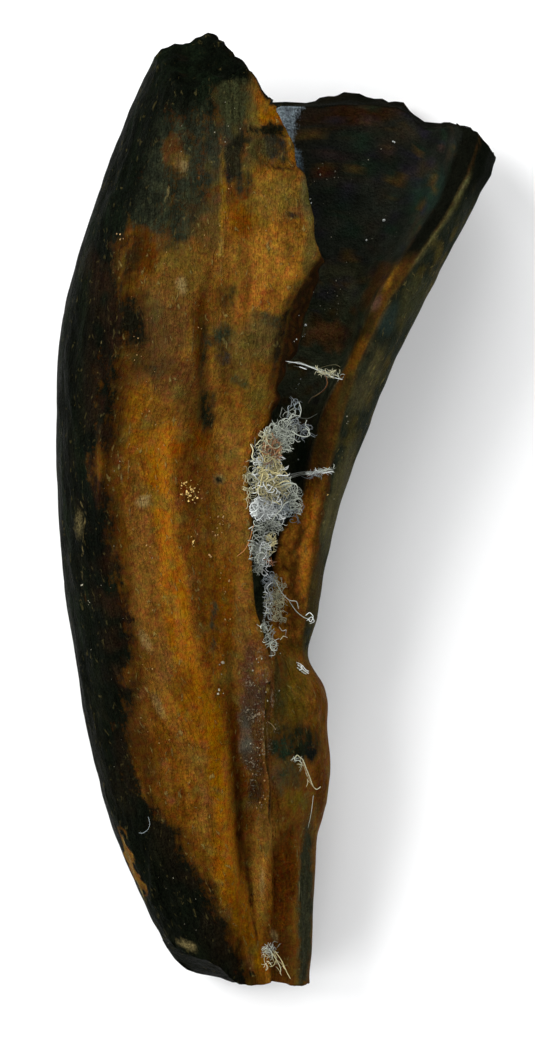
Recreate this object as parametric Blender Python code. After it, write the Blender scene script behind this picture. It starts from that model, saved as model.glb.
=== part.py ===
"""A broken fossil tooth of a small raptor, lying on its back, with lint caught in its crack.

The tooth is one hollow piece. Its front wall is broken open along a jagged lip, which shows the
pulp hollow inside, and both its base and its tip are broken off. A wad of lint, two strands and
a tuft of fluff are caught in it, each a separate piece.

+Y runs from the tip to the base, +X from the smooth front edge to the open side, and +Z up out
of the face that shows. The origin is under the middle of the box, on the surface it rests on.
Every size below is in millimetres, and turns to metres only when a mesh is made.
"""

import bmesh
import bpy
import numpy as np
from mathutils import Matrix, Vector, bvhtree, noise

MM = 0.001

# Driving dimensions of the tooth
LENGTH = 18.0
DEPTH = 4.7
TIP_Y = -LENGTH / 2
BASE_Y = LENGTH / 2
BREAK_Y = 7.8

# How square the cross-section is: 2 is an ellipse
FRONT_ROUND = 2.3
BELLY_ROUND = 2.6

# Segments round one cross-section, in the order that they follow each other
FRONT_SEGMENTS = 20
BELLY_SEGMENTS = 16
BAND_SEGMENTS = 4
LEDGE_SEGMENTS = 2
BASIN_SEGMENTS = 8
UNDERSIDE_SEGMENTS = 8
LIP_SEGMENTS = 2
STATIONS = 64
FINE_STEPS = 61
SECTION_YS = np.linspace(TIP_Y - 0.1, BASE_Y + 0.2, 233)
MEETING_ROUNDS = 14

# The band: how far its crest stands below the front, and how far round it turns from the side
RIM_DROP = 0.12
BAND_TURN = np.radians(62)

# How far the belly is cut by the surface that it lies on
FLAT_REST = 0.16

# The hollow: its highest ceiling over the ledge, and how boxy its walls are
CEILING_RISE = 0.5
BASIN_POWER = 0.8

# The crack is open above the first y, and below the second its edges meet along a low step
CRACK_OPEN_Y = -1.9
CRACK_SHUT_Y = -2.9
SEAM_STEP = 0.12

# Natural unevenness: (height, size) of slow lumps and of small ones
LUMPS = ((0.05, 1.9), (0.022, 0.6))
JAGS = ((0.05, 0.55), (0.03, 0.24))
FRACTURE = ((0.16, 0.9), (0.09, 0.35))
BREAK_GRAIN = ((0.05, 0.45), (0.04, 0.2))

# The front wall's broken base slopes by this much, between these xs, fading over this width
BREAK_SLOPE = 0.85
SLOPE_FROM, SLOPE_TO, SLOPE_FADE = -2.3, -0.5, 0.55
BACK_WALL_SLOPE = 0.12

# The narrow notch in the broken top of the back wall: x of its foot and of its right edge, y of its foot
NOTCH_X = (0.52, 0.6)
NOTCH_Y = 6.45
NOTCH_BEND_Y = 4.5

# Lint, which lies this far clear of the tooth
LINT_GAP = 0.1
PATCH_ACROSS = 6
PATCH_ROWS = 16
STRAND_RADIUS = 0.055
STRAND_POINTS = 7
LIP_OVERLAP = 0.08
LEDGE_OVERLAP = 0.06
WAD_THICKNESS = 0.3
TIP_FLUFF_THICKNESS = 0.12
SIDE_FLUFF_THICKNESS = 0.1


def through(*points):
    """A smooth curve through (position, value) points, as a function of position."""
    at, value = np.array(points, float).T
    slope = np.gradient(value, at)

    def curve(position):
        p = np.clip(position, at[0], at[-1])
        i = int(np.clip(np.searchsorted(at, p) - 1, 0, len(at) - 2))
        span = at[i + 1] - at[i]
        t = (p - at[i]) / span
        rise = value[i + 1] - value[i]
        return (
            value[i]
            + rise * t * t * (3 - 2 * t)
            + span * slope[i] * t * (1 - t) ** 2
            - span * slope[i + 1] * t * t * (1 - t)
        )

    return curve


def step(x, low, high):
    """0 below low, 1 above high, and smooth between."""
    t = np.clip((x - low) / (high - low), 0, 1)
    return t * t * (3 - 2 * t)


def uneven(place, scales, seed):
    """Smooth random height at a place, from -1 to 1 times each scale's height."""
    return sum(
        height * noise.noise(Vector(place) / size + Vector((seed, 0, 0)))
        for height, size in scales
    )


# Outline of the tooth seen from above, as x at each y
left_edge = through(
    (-9.0, -1.68), (-8.16, -2.14), (-7.03, -2.68), (-5.9, -3.12), (-4.38, -3.52),
    (-2.49, -3.84), (-0.6, -4.06), (1.29, -4.15), (2.8, -4.1), (4.31, -3.86),
    (5.82, -3.4), (7.64, -2.68), (9.2, -1.95),
)
right_edge = through(
    (-9.0, 0.57), (-8.16, 0.65), (-7.03, 0.73), (-5.9, 0.85), (-5.3, 0.98), (-4.7, 1.05),
    (-4.0, 1.01), (-3.5, 0.99), (-3.25, 0.86), (-3.0, 0.65), (-2.7, 0.61), (-2.1, 0.74),
    (-0.98, 0.98), (0.15, 1.27), (1.29, 1.64), (2.8, 2.25), (4.31, 3.02), (5.82, 3.82),
    (6.58, 4.14), (7.4, 4.4),
)
# Jagged edge of the front wall, where the crack opens
lip_edge = through(
    (-9.0, -0.06), (-7.0, -0.06), (-5.6, -0.08), (-4.76, -0.13), (-3.63, -0.1),
    (-2.76, -0.08), (-2.4, -0.2), (-1.98, -0.32), (-1.5, -0.38), (-0.7, -0.42),
    (0.1, -0.46), (0.72, -0.5), (1.21, -0.36), (1.57, -0.13), (2.04, -0.04),
    (2.89, 0.11), (3.84, 0.3), (4.4, 0.62), (4.74, 0.84), (5.54, 0.78),
    (6.39, 0.53), (7.14, 0.4), (7.64, 0.27),
)
# Crest line of the band on the open side
rim_edge = through(
    (-9.0, 0.38), (-6.84, 0.4), (-6.1, 0.52), (-5.4, 0.74), (-4.7, 0.88), (-3.63, 0.86),
    (-3.1, 0.56), (-2.49, 0.52), (-1.74, 0.63), (-0.51, 0.77), (0.53, 0.96), (1.53, 1.21),
    (2.65, 1.53), (3.04, 1.72), (3.93, 2.14), (4.65, 2.65), (5.54, 3.27), (6.29, 3.65),
    (7.0, 3.9),
)
# Where the ledge inside the band drops into the hollow
hollow_edge = through(
    (-3.0, -0.1), (-2.21, -0.12), (-1.74, -0.1), (-0.98, -0.02), (-0.47, 0.1), (-0.13, 0.34),
    (0.3, 0.55), (0.72, 0.64), (1.53, 0.82), (1.95, 0.95), (2.65, 1.32), (3.04, 1.58),
    (3.84, 1.85), (4.65, 2.35), (5.8, 3.08), (6.5, 3.4), (7.2, 3.6),
)
# How far the hollow reaches under the front wall
hollow_end = through(
    (-3.0, -0.6), (-2.2, -0.75), (-1.0, -1.0), (0.5, -1.6), (2.0, -2.05), (4.0, -2.25),
    (6.5, -2.0), (9.2, -1.4),
)

# Heights, as z at each y
crown_top = through((-9.0, 2.15), (-6.0, 2.78), (-2.0, 3.58), (2.0, 4.3), (5.5, 4.68), (9.0, 4.55))
side_height = through((-9.0, 1.2), (-6.0, 1.4), (-2.0, 1.7), (2.0, 2.05), (5.5, 2.3), (9.0, 2.4))
belly_height = through((-9.0, 0.2), (-7.0, -0.02), (-2.0, -FLAT_REST), (4.0, -FLAT_REST), (9.0, 0.3))
hollow_floor = through(
    (-3.0, 2.6), (-2.3, 2.3), (-1.0, 1.95), (0.5, 1.7), (2.0, 1.45), (4.0, 1.3), (6.5, 1.35), (9.0, 1.6)
)
lip_slant = through(
    (-9.0, 0.03), (1.6, 0.04), (2.3, 0.1), (3.0, 0.3), (3.9, 0.36), (4.5, 0.2), (4.9, -0.04),
    (9.0, -0.06),
)
lip_depth = through(
    (-9.0, SEAM_STEP), (-2.9, SEAM_STEP), (-2.0, 0.45), (-1.0, 0.7), (3.0, 0.85), (9.0, 0.95)
)
ledge_drop = through((-9.0, 0.05), (-3.0, 0.1), (-1.5, 0.34), (0.0, 0.3), (2.0, 0.2), (7.5, 0.14))

# Broken ends, as y at each x
front_top = through(
    (-2.5, 8.55), (-2.05, 8.72), (-1.7, 8.77), (-1.45, 8.86), (-1.2, 9.02), (-1.0, 8.86), (-0.85, 8.68),
    (-0.68, 8.46), (-0.42, 8.24), (-0.25, 7.9), (0.06, 7.64), (0.3, 7.55),
)
back_top = through(
    (-2.5, 7.8), (-1.0, 7.5), (0.0, 7.3), (0.58, 7.68),
    (0.96, 7.8), (1.35, 7.84), (1.72, 7.79), (2.02, 7.7), (2.33, 7.68), (2.48, 7.6),
    (2.8, 7.29), (3.05, 7.27), (3.45, 7.28), (3.7, 7.19), (3.9, 7.0), (4.1, 6.68), (4.3, 6.45),
)
tip_end = through(
    (-2.14, -8.16), (-1.91, -8.49), (-1.61, -8.73), (-1.0, -8.87), (-0.6, -9.0), (-0.3, -9.0),
    (0.0, -8.93), (0.3, -9.0), (0.51, -8.98), (0.62, -8.9),
)
tip_chip = through((-2.2, 0.2), (-1.6, 0.36), (-1.1, 0.26), (-0.5, 0.0), (0.6, 0.0))

# Lint: rows of (y, left x, right x) for each pad, and both ends (x, y) of each strand
WAD_ROWS = (
    (2.04, 0.3, 0.45), (1.76, 0.09, 0.7), (1.47, -0.25, 0.74), (1.1, -0.49, 0.66), (0.72, -0.55, 0.47),
    (0.34, -0.55, 0.57), (0.06, -0.53, 0.59), (-0.23, -0.49, 0.53), (-0.6, -0.43, 0.25),
    (-0.91, -0.42, 0.02), (-1.27, -0.32, 0.13), (-1.93, -0.21, 0.19), (-2.31, -0.23, 0.25),
    (-2.59, -0.15, 0.12), (-2.8, -0.05, 0.05),
)[::-1]
TIP_FLUFF_ROWS = (
    (-8.2, -0.14, -0.05), (-8.35, -0.23, 0.06), (-8.58, -0.25, 0.15), (-8.72, -0.15, 0.25),
    (-8.82, 0.05, 0.3),
)[::-1]
SIDE_FLUFF_ROWS = (
    (-4.64, 0.42, 0.52), (-4.86, 0.38, 0.64), (-5.14, 0.53, 0.74), (-5.37, 0.66, 0.76),
    (-6.0, 0.52, 0.62), (-6.46, 0.45, 0.5),
)[::-1]
BRIDGE_ENDS = ((0.06, 2.7), (1.2, 2.48))
ARM_ENDS = ((0.72, 0.62), (1.08, 0.74))

# Long ridges (+) and valleys (-) of the front: path of x at each y, half-width, height at each y
FRONT_RELIEF = (
    (
        through((-9.0, -0.4), (-6.5, -0.5), (-3.6, -0.66), (-0.6, -0.95), (2.0, -1.02), (7.1, -1.0)),
        0.34,
        through((-9.0, -0.16), (-3.6, -0.22), (2.0, -0.2), (6.0, -0.12), (8.5, 0.0)),
    ),
    (
        through((-9.0, -0.85), (-5.0, -1.2), (-2.0, -1.55), (1.0, -1.9), (4.0, -2.05)),
        0.42,
        through((-9.0, 0.12), (-2.0, 0.17), (3.0, 0.12), (6.0, 0.0)),
    ),
    (
        through((-1.0, -0.6), (1.5, -0.55), (3.5, -0.25), (5.5, 0.0)),
        0.32,
        through((-2.0, 0.0), (1.5, 0.1), (4.5, 0.14), (7.0, 0.05)),
    ),
    (
        through((-1.0, -3.25), (1.3, -3.18), (3.5, -2.95), (6.0, -2.5)),
        0.13,
        through((-3.0, 0.0), (0.0, 0.08), (4.0, 0.09), (6.0, 0.0)),
    ),
)


def front_height(x, y):
    """Height of the front wall's outside at x, y, without its relief."""
    left, right = left_edge(y), right_edge(y)
    across = abs(x - (left + right) / 2) / ((right - left) / 2)
    side = side_height(y)
    return side + (crown_top(y) - side) * max(0.0, 1 - across**FRONT_ROUND) ** (1 / FRONT_ROUND)


def relief(x, y):
    """Height that the long ridges and valleys add to the front at x, y."""
    return sum(
        height(y) * np.exp(-(((x - path(y)) / half_width) ** 2))
        for path, half_width, height in FRONT_RELIEF
    )


def spaced_evenly(curve, start, end, segments):
    """Points evenly spaced along the curve(turn) from turn start to turn end, both included."""
    fine = np.array([curve(turn) for turn in np.linspace(start, end, FINE_STEPS)])
    along = np.concatenate([[0], np.cumsum(np.hypot(*np.diff(fine, axis=0).T))])
    wanted = np.linspace(0, along[-1], segments + 1)
    return [(np.interp(d, along, fine[:, 0]), np.interp(d, along, fine[:, 1])) for d in wanted]


def squircle(turn, power):
    """Cosine and sine of a turn on a rounded square, which is a circle at a power of 2."""
    c, s = np.cos(turn), np.sin(turn)
    return np.sign(c) * abs(c) ** (2 / power), np.sign(s) * abs(s) ** (2 / power)


def jagged_lip(y):
    """x of the front wall's broken edge, with its small jags."""
    return lip_edge(y) + uneven((0, y, 0), JAGS, 3)


def round_front(y, lip):
    """The outside from the lip over the crown to the left edge."""
    left, right = left_edge(y), right_edge(y)
    middle, half = (left + right) / 2, (right - left) / 2
    side, top = side_height(y), crown_top(y)

    def curve(turn):
        across, up = squircle(turn, FRONT_ROUND)
        x = middle + half * across
        return x, side + (top - side) * up + relief(x, y) * step(up, 0.1, 0.6)

    share = np.clip((lip - middle) / half, -1, 1)
    start = np.arccos(np.sign(share) * abs(share) ** (FRONT_ROUND / 2))
    return spaced_evenly(curve, start, np.pi, FRONT_SEGMENTS)


def round_belly(y):
    """The outside from the left edge under the belly to the right edge."""
    left, right = left_edge(y), right_edge(y)
    middle, half = (left + right) / 2, (right - left) / 2
    side, bottom = side_height(y), belly_height(y)

    def curve(turn):
        across, up = squircle(turn, BELLY_ROUND)
        return middle + half * across, side + (side - bottom) * up

    return spaced_evenly(curve, np.pi, 2 * np.pi, BELLY_SEGMENTS)


def rim_point(y):
    """The crest of the band on the open side."""
    x = rim_edge(y)
    return x, front_height(x, y) - RIM_DROP


def round_band(y):
    """The band from the right edge up to the rim."""
    right, side = right_edge(y), side_height(y)
    rim_x, rim_z = rim_point(y)
    points = []
    for turn in np.linspace(0, BAND_TURN, BAND_SEGMENTS + 1):
        inward = (1 - np.cos(turn)) / (1 - np.cos(BAND_TURN))
        upward = np.sin(turn) / np.sin(BAND_TURN)
        points.append((right + (rim_x - right) * inward, side + (rim_z - side) * upward))
    return points


def between(start, end, segments):
    """Points spread evenly from start to end, both included."""
    return [
        (start[0] + (end[0] - start[0]) * t, start[1] + (end[1] - start[1]) * t)
        for t in np.linspace(0, 1, segments + 1)
    ]


def basin(y, start, end):
    """The hollow's wall and floor, from the ledge down and up to the underside of the front wall."""
    floor = hollow_floor(y)

    def curve(turn):
        t = (1 - np.cos(turn)) / 2
        level = start[1] + (end[1] - start[1]) * t
        sunk = min(0.0, floor - level) * np.sin(turn) ** BASIN_POWER
        return start[0] + (end[0] - start[0]) * t, level + sunk

    return spaced_evenly(curve, 0, np.pi, BASIN_SEGMENTS)


def hollow(y, rim, lip_bottom):
    """The open crack: the ledge, the hollow, and the underside of the front wall."""
    ledge_end = (hollow_edge(y), rim[1] - ledge_drop(y))
    reach = hollow_end(y)
    ceiling = min(front_height(reach, y) - lip_depth(y), ledge_end[1] + CEILING_RISE)
    basin_end = (reach, ceiling)
    return [
        *between(rim, ledge_end, LEDGE_SEGMENTS)[:-1],
        *basin(y, ledge_end, basin_end)[:-1],
        *between(basin_end, lip_bottom, UNDERSIDE_SEGMENTS),
    ]


def shut_surface(y, rim, lip_bottom):
    """The shut crack: the outside carries on from the rim to the seam, a low step below the lip."""
    xs = np.linspace(rim[0], lip_bottom[0], LEDGE_SEGMENTS + BASIN_SEGMENTS + UNDERSIDE_SEGMENTS + 1)
    return [(x, front_height(x, y) - SEAM_STEP + relief(x, y)) for x in xs[:-1]] + [lip_bottom]


def section(y):
    """The closed cross-section at y, as (x, z) points from the lip round the outside and back inside."""
    lip = jagged_lip(y)
    front = round_front(y, lip)
    band = round_band(y)
    lip_bottom = (lip + lip_slant(y), front[0][1] - lip_depth(y))
    is_open = step(y, CRACK_SHUT_Y, CRACK_OPEN_Y)
    inside = [
        (a[0] + (b[0] - a[0]) * is_open, a[1] + (b[1] - a[1]) * is_open)
        for a, b in zip(shut_surface(y, band[-1], lip_bottom), hollow(y, band[-1], lip_bottom))
    ]
    parts = (front, round_belly(y), band, inside, between(lip_bottom, front[0], LIP_SEGMENTS))
    return [point for part in parts for point in part[:-1]]


OUTER_SEGMENTS = FRONT_SEGMENTS + BELLY_SEGMENTS + BAND_SEGMENTS
INNER_SEGMENTS = LEDGE_SEGMENTS + BASIN_SEGMENTS + UNDERSIDE_SEGMENTS + LIP_SEGMENTS
AROUND = OUTER_SEGMENTS + INNER_SEGMENTS

# The columns at the notch's foot, outside and in, and those at its right edge
NOTCH_PAIR = 13
NOTCH_FOOT = (2 * NOTCH_PAIR, AROUND - NOTCH_PAIR)
NOTCH_RIGHT = (2 * NOTCH_PAIR + 1, AROUND - NOTCH_PAIR - 1)
assert OUTER_SEGMENTS == 2 * INNER_SEGMENTS, "the broken ends need two outer segments to an inner one"


def base_end(column, x, z):
    """y at which a column ends at the broken base, if it gets there at x, z."""
    outside = column <= OUTER_SEGMENTS
    from_lip = column / 2 if outside else AROUND - column
    front = 1 - step(from_lip, FRONT_SEGMENTS / 2 + 0.5, NOTCH_PAIR - 0.5)
    rough = uneven((x, z, 0), BREAK_GRAIN, 11)
    front_y, back_y = front_top(x), back_top(x)
    if outside:
        front_y -= BREAK_SLOPE * step(x, SLOPE_FROM, SLOPE_FROM + SLOPE_FADE) * step(
            SLOPE_TO - x, 0, SLOPE_FADE
        )
    else:
        back_y -= BACK_WALL_SLOPE
    return front * front_y + (1 - front) * back_y + rough


def tip_start(x, z):
    """y at which a column starts at the broken tip, if it gets there at x, z, with the chip on its left."""
    side = side_height(TIP_Y)
    chip = tip_chip(x) * step(z, side, crown_top(TIP_Y))
    return tip_end(x) + chip + abs(uneven((x, z, 7), BREAK_GRAIN, 29))


def place(x, y, z):
    """A point of the tooth's surface in millimetres, with the natural lumps on it."""
    x += uneven((x, y, z), LUMPS, 41)
    z += uneven((x, y, z), LUMPS, 57)
    return Vector((x, y, max(z, 0.0)))


def meeting(path, broken_end, y):
    """y at which a path, from about this y, meets a broken end that depends on x and z."""
    for _ in range(MEETING_ROUNDS):
        y = (y + broken_end(*path(y))) / 2
    return y


def column_points():
    """The lines of points along the tooth, each from its tip to its base."""
    sections = np.array([section(y) for y in SECTION_YS])
    break_xs = sections[np.searchsorted(SECTION_YS, BREAK_Y), :, 0]
    notch_x = dict.fromkeys(NOTCH_FOOT, NOTCH_X[0]) | dict.fromkeys(NOTCH_RIGHT, NOTCH_X[1])
    columns = []
    for k in range(AROUND):
        shift = notch_x.get(k, break_xs[k]) - break_xs[k]

        def path(y):
            x, z = (np.interp(y, SECTION_YS, sections[:, k, axis]) for axis in range(2))
            return x + shift * step(y, NOTCH_BEND_Y, NOTCH_Y), z

        low = meeting(path, tip_start, TIP_Y)
        high = NOTCH_Y if k in NOTCH_FOOT else meeting(path, lambda x, z: base_end(k, x, z), BREAK_Y)
        columns.append([place(path(y)[0], y, path(y)[1]) for y in np.linspace(low, high, STATIONS + 1)])
    return columns


def cap(bm, ring, outward, seed):
    """Closes a broken end with a rough strip from the outside to the hollow."""
    middle = {}
    for i in range(1, INNER_SEGMENTS):
        point = (ring[2 * i].co + ring[AROUND - i].co) / 2
        point.y -= outward * abs(uneven(point / MM, FRACTURE, seed)) * MM
        middle[i] = bm.verts.new(point)
    for i in range(INNER_SEGMENTS):
        outer = [ring[2 * i], ring[2 * i + 1], ring[2 * i + 2]]
        near, far = middle.get(i), middle.get(i + 1)
        strips = [[*outer, far, near], [near, far, ring[(AROUND - i - 1)], ring[(AROUND - i) % AROUND]]]
        if near is None:
            strips = [[*outer, far], [far, ring[AROUND - 1], ring[0]]]
        if far is None:
            strips = [[*outer, near], [near, ring[OUTER_SEGMENTS], ring[OUTER_SEGMENTS + 1]]]
        for corners in strips:
            bm.faces.new(corners if outward > 0 else corners[::-1])


def finished(name, bm, material):
    """Makes the bmesh a named object with its normals out, shaded smooth but for its sharp edges."""
    bmesh.ops.recalc_face_normals(bm, faces=bm.faces)
    mesh = bpy.data.meshes.new(name)
    bm.to_mesh(mesh)
    bm.free()
    mesh.shade_smooth()
    mesh.set_sharp_from_angle(angle=np.radians(40))
    mesh.materials.append(material)
    obj = bpy.data.objects.new(name, mesh)
    bpy.context.scene.collection.objects.link(obj)
    return obj


def make_tooth(material):
    """The hollow tooth, lofted from its tip to its base and closed at both broken ends."""
    bm = bmesh.new()
    columns = [[bm.verts.new(p * MM) for p in points] for points in column_points()]
    for k, column in enumerate(columns):
        following = columns[(k + 1) % AROUND]
        for j in range(STATIONS):
            bm.faces.new((column[j], following[j], following[j + 1], column[j + 1]))
    cap(bm, [column[0] for column in columns], -1, 61)
    cap(bm, [column[-1] for column in columns], 1, 67)
    return finished("tooth", bm, material)


class Resting:
    """Heights at which lint rests on the tooth, bridging its open crack."""

    def __init__(self, tooth):
        self.tree = bvhtree.BVHTree.FromPolygons(
            [v.co for v in tooth.data.vertices], [p.vertices for p in tooth.data.polygons]
        )

    def top(self, x, y):
        """Height of the tooth's uppermost surface."""
        above = Vector((x, y, 2 * DEPTH)) * MM
        return self.tree.ray_cast(above, Vector((0, 0, -1)))[0].z / MM

    def height(self, x, y):
        """Height at which lint rests."""
        near, far = lip_edge(y) - LIP_OVERLAP, hollow_edge(y) + LEDGE_OVERLAP
        if y < CRACK_SHUT_Y or not near < x < far:
            return self.top(x, y) + LINT_GAP
        share = (x - near) / (far - near)
        return self.top(near, y) * (1 - share) + self.top(far, y) * share + LINT_GAP


def make_patch(name, resting, rows, thickness, material):
    """A thin pad of lint that follows the tooth under it. Each row is (y, left x, right x)."""
    ys = [y for y, _, _ in rows]
    left = through(*[(y, x) for y, x, _ in rows])
    right = through(*[(y, x) for y, _, x in rows])
    bm = bmesh.new()
    rings = []
    for y in np.linspace(ys[0], ys[-1], PATCH_ROWS + 1):
        lower, upper = [], []
        for t in np.linspace(0, 1, PATCH_ACROSS + 1):
            x = left(y) + (right(y) - left(y)) * t
            z = resting.height(x, y)
            lower.append(bm.verts.new(Vector((x, y, z)) * MM))
            if 0 < t < 1:
                rise = thickness * np.sqrt(4 * t * (1 - t))
                upper.append(bm.verts.new(Vector((x, y, z + rise)) * MM))
        rings.append([*lower, *upper[::-1]])
    for low, high in zip(rings, rings[1:]):
        for k in range(len(low)):
            following = (k + 1) % len(low)
            bm.faces.new((low[k], low[following], high[following], high[k]))
    bm.faces.new(rings[0])
    bm.faces.new(rings[-1][::-1])
    return finished(name, bm, material)


def make_strand(name, resting, start, end, material):
    """A straight strand of lint lying from (x, y) start to (x, y) end."""
    curve = bpy.data.curves.new(name, "CURVE")
    curve.dimensions = "3D"
    curve.bevel_depth = STRAND_RADIUS * MM
    curve.bevel_resolution = 2
    curve.use_fill_caps = True
    spline = curve.splines.new("POLY")
    spline.points.add(STRAND_POINTS - 1)
    for point, t in zip(spline.points, np.linspace(0, 1, STRAND_POINTS)):
        x, y = start[0] + (end[0] - start[0]) * t, start[1] + (end[1] - start[1]) * t
        point.co = (x * MM, y * MM, (resting.height(x, y) + STRAND_RADIUS) * MM, 1)
    curve.materials.append(material)
    obj = bpy.data.objects.new(name, curve)
    bpy.context.scene.collection.objects.link(obj)
    return obj


def centre_on_origin():
    """Moves every piece sideways alike, so that the middle of the tooth's box is over the origin."""
    corners = np.array([v.co for v in bpy.data.objects["tooth"].data.vertices])
    middle = (corners.min(axis=0) + corners.max(axis=0)) / 2
    shift = Matrix.Translation((-middle[0], -middle[1], 0))
    for obj in bpy.data.objects:
        obj.data.transform(shift)


def make_material(name, colour, roughness):
    """A Principled material of one colour, given as linear red, green and blue."""
    material = bpy.data.materials.new(name)
    material.use_nodes = True
    shader = material.node_tree.nodes["Principled BSDF"]
    shader.inputs["Base Color"].default_value = (*colour, 1)
    shader.inputs["Roughness"].default_value = roughness
    shader.inputs["Metallic"].default_value = 0.0
    return material


def clear_scene():
    for obj in list(bpy.data.objects):
        bpy.data.objects.remove(obj)


def main():
    clear_scene()
    fossil = make_material("fossil_enamel", (0.16, 0.075, 0.02), 0.38)
    lint = make_material("lint", (0.62, 0.64, 0.6), 0.95)
    resting = Resting(make_tooth(fossil))
    make_patch("lint_wad", resting, WAD_ROWS, WAD_THICKNESS, lint)
    make_patch("tip_fluff", resting, TIP_FLUFF_ROWS, TIP_FLUFF_THICKNESS, lint)
    make_patch("side_fluff", resting, SIDE_FLUFF_ROWS, SIDE_FLUFF_THICKNESS, lint)
    make_strand("lint_bridge", resting, *BRIDGE_ENDS, lint)
    make_strand("lint_arm", resting, *ARM_ENDS, lint)
    centre_on_origin()


main()
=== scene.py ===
"""Looks of the fossil raptor tooth: stained enamel, broken dentine, and the lint caught in its crack.

Lengths in this script are in millimetres unless their name ends in _M. The tooth lies along Y with its
broken base at +Y, and +Z points out of the face that shows.
"""

import math
import random

import bpy
import numpy as np
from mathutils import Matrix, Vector, bvhtree, noise


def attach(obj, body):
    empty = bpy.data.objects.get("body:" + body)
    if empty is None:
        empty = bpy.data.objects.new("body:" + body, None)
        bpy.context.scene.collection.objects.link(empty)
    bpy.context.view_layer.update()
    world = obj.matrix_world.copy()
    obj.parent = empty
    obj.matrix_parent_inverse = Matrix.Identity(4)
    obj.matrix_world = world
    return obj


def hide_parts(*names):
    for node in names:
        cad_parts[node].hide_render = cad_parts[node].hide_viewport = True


MM = 0.001

# Camera: straight above, far away, so that the frame is this tall at the tooth
FRAME_TALL = 19.7
CAMERA_AIM = (-0.14, -0.25)
CAMERA_HEIGHT = 260
TOOTH_FACE_HEIGHT = 3
SENSOR = 36

# Mineral stains, from the darkest to the palest
PITCH = "#080b06"
MOSS = "#1c2117"
UMBER = "#281808"
LICHEN = "#33341f"
OLIVE = "#4d4219"
CHESTNUT = "#472709"
RUST = "#5a340b"
MUSTARD = "#62501c"
OCHRE = "#66441a"
AMBER = "#754a12"
HONEY = "#805620"
CREAM = "#8f7444"


# ---------------------------------------------------------------- small tools


def linear(hex_colour):
    """Linear red, green, blue of an sRGB hex colour."""
    channels = [int(hex_colour[i : i + 2], 16) / 255 for i in (1, 3, 5)]
    return tuple(c / 12.92 if c <= 0.04045 else ((c + 0.055) / 1.055) ** 2.4 for c in channels)


def ramp(value, low, high):
    """0 below low, 1 above high, and smooth between."""
    t = np.clip((value - low) / (high - low), 0, 1)
    return t * t * (3 - 2 * t)


def hill(value, middle, half_width):
    """1 at the middle and falling off smoothly on both sides."""
    return np.exp(-(((value - middle) / half_width) ** 2))


def along(*points):
    """x at y of a line through (y, x) points, given from the tip to the base."""
    ys, xs = np.array(points, float).T
    return lambda y: np.interp(y, ys, xs)


def noise_at(points, size, seed):
    """Smooth noise from -1 to 1 at each point, with lumps of about this size."""
    shift = Vector((seed, seed * 0.37, 0))
    return np.array([noise.noise(Vector(p) / size + shift) for p in points])


def deselect_all():
    bpy.ops.object.select_all(action="DESELECT")


def make_active(obj):
    deselect_all()
    obj.select_set(True)
    bpy.context.view_layer.objects.active = obj


def apply_modifier(obj, kind, **settings):
    """Adds a modifier with its settings and applies it."""
    make_active(obj)
    modifier = obj.modifiers.new(kind.title(), kind)
    for name, value in settings.items():
        setattr(modifier, name, value)
    bpy.ops.object.modifier_apply(modifier=modifier.name)


def positions_of(mesh):
    """The mesh's vertices in millimetres."""
    flat = np.empty(len(mesh.vertices) * 3)
    mesh.vertices.foreach_get("co", flat)
    return flat.reshape(-1, 3) / MM


def set_positions(mesh, points):
    mesh.vertices.foreach_set("co", (points * MM).ravel())
    mesh.update()


def normals_of(mesh):
    flat = np.empty(len(mesh.vertices) * 3)
    mesh.vertex_normals.foreach_get("vector", flat)
    return flat.reshape(-1, 3)


def store_value(mesh, name, values):
    layer = mesh.attributes.new(name, "FLOAT", "POINT")
    layer.data.foreach_set("value", np.asarray(values, np.float32))


def store_vector(mesh, name, vectors):
    layer = mesh.attributes.new(name, "FLOAT_VECTOR", "POINT")
    layer.data.foreach_set("vector", np.asarray(vectors, np.float32).ravel())


def store_colour(mesh, name, colours):
    layer = mesh.attributes.new(name, "FLOAT_COLOR", "POINT")
    rgba = np.ones((len(colours), 4), np.float32)
    rgba[:, :3] = colours
    layer.data.foreach_set("color", rgba.ravel())


# ---------------------------------------------------------------- where things are on the tooth

lip = along(
    (-9, -0.06), (-5.6, -0.08), (-4.76, -0.13), (-3.63, -0.1), (-2.76, -0.08), (-2.4, -0.2),
    (-1.98, -0.32), (-1.5, -0.38), (-0.7, -0.42), (0.1, -0.46), (0.72, -0.5), (1.21, -0.36),
    (1.57, -0.13), (2.04, -0.04), (2.89, 0.11), (3.84, 0.3), (4.4, 0.62), (4.74, 0.84),
    (5.54, 0.78), (6.39, 0.53), (7.14, 0.4), (7.64, 0.27),
)
rim = along(
    (-9, 0.38), (-6.84, 0.4), (-6.1, 0.52), (-5.4, 0.74), (-4.7, 0.88), (-3.63, 0.86), (-3.1, 0.56),
    (-2.49, 0.52), (-1.74, 0.63), (-0.51, 0.77), (0.53, 0.96), (1.53, 1.21), (2.65, 1.53),
    (3.93, 2.14), (4.65, 2.65), (5.54, 3.27), (6.29, 3.65), (7.0, 3.9),
)
hollow_side = along(
    (-3, -0.1), (-1.74, -0.1), (-0.98, -0.02), (-0.47, 0.1), (-0.13, 0.34), (0.3, 0.55), (0.72, 0.64),
    (1.53, 0.82), (1.95, 0.95), (2.65, 1.32), (3.84, 1.85), (4.65, 2.35), (5.8, 3.08), (7.2, 3.6),
)
hollow_middle_x = along((-2.3, -0.35), (0.5, -0.4), (2, -0.3), (4, 0.0), (6.5, 0.7), (8, 0.9))
hollow_middle_z = along((-2.3, 2.75), (0.5, 2.6), (2, 2.4), (4, 2.3), (8, 2.4))
HOLLOW_FOOT = -2.5

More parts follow.
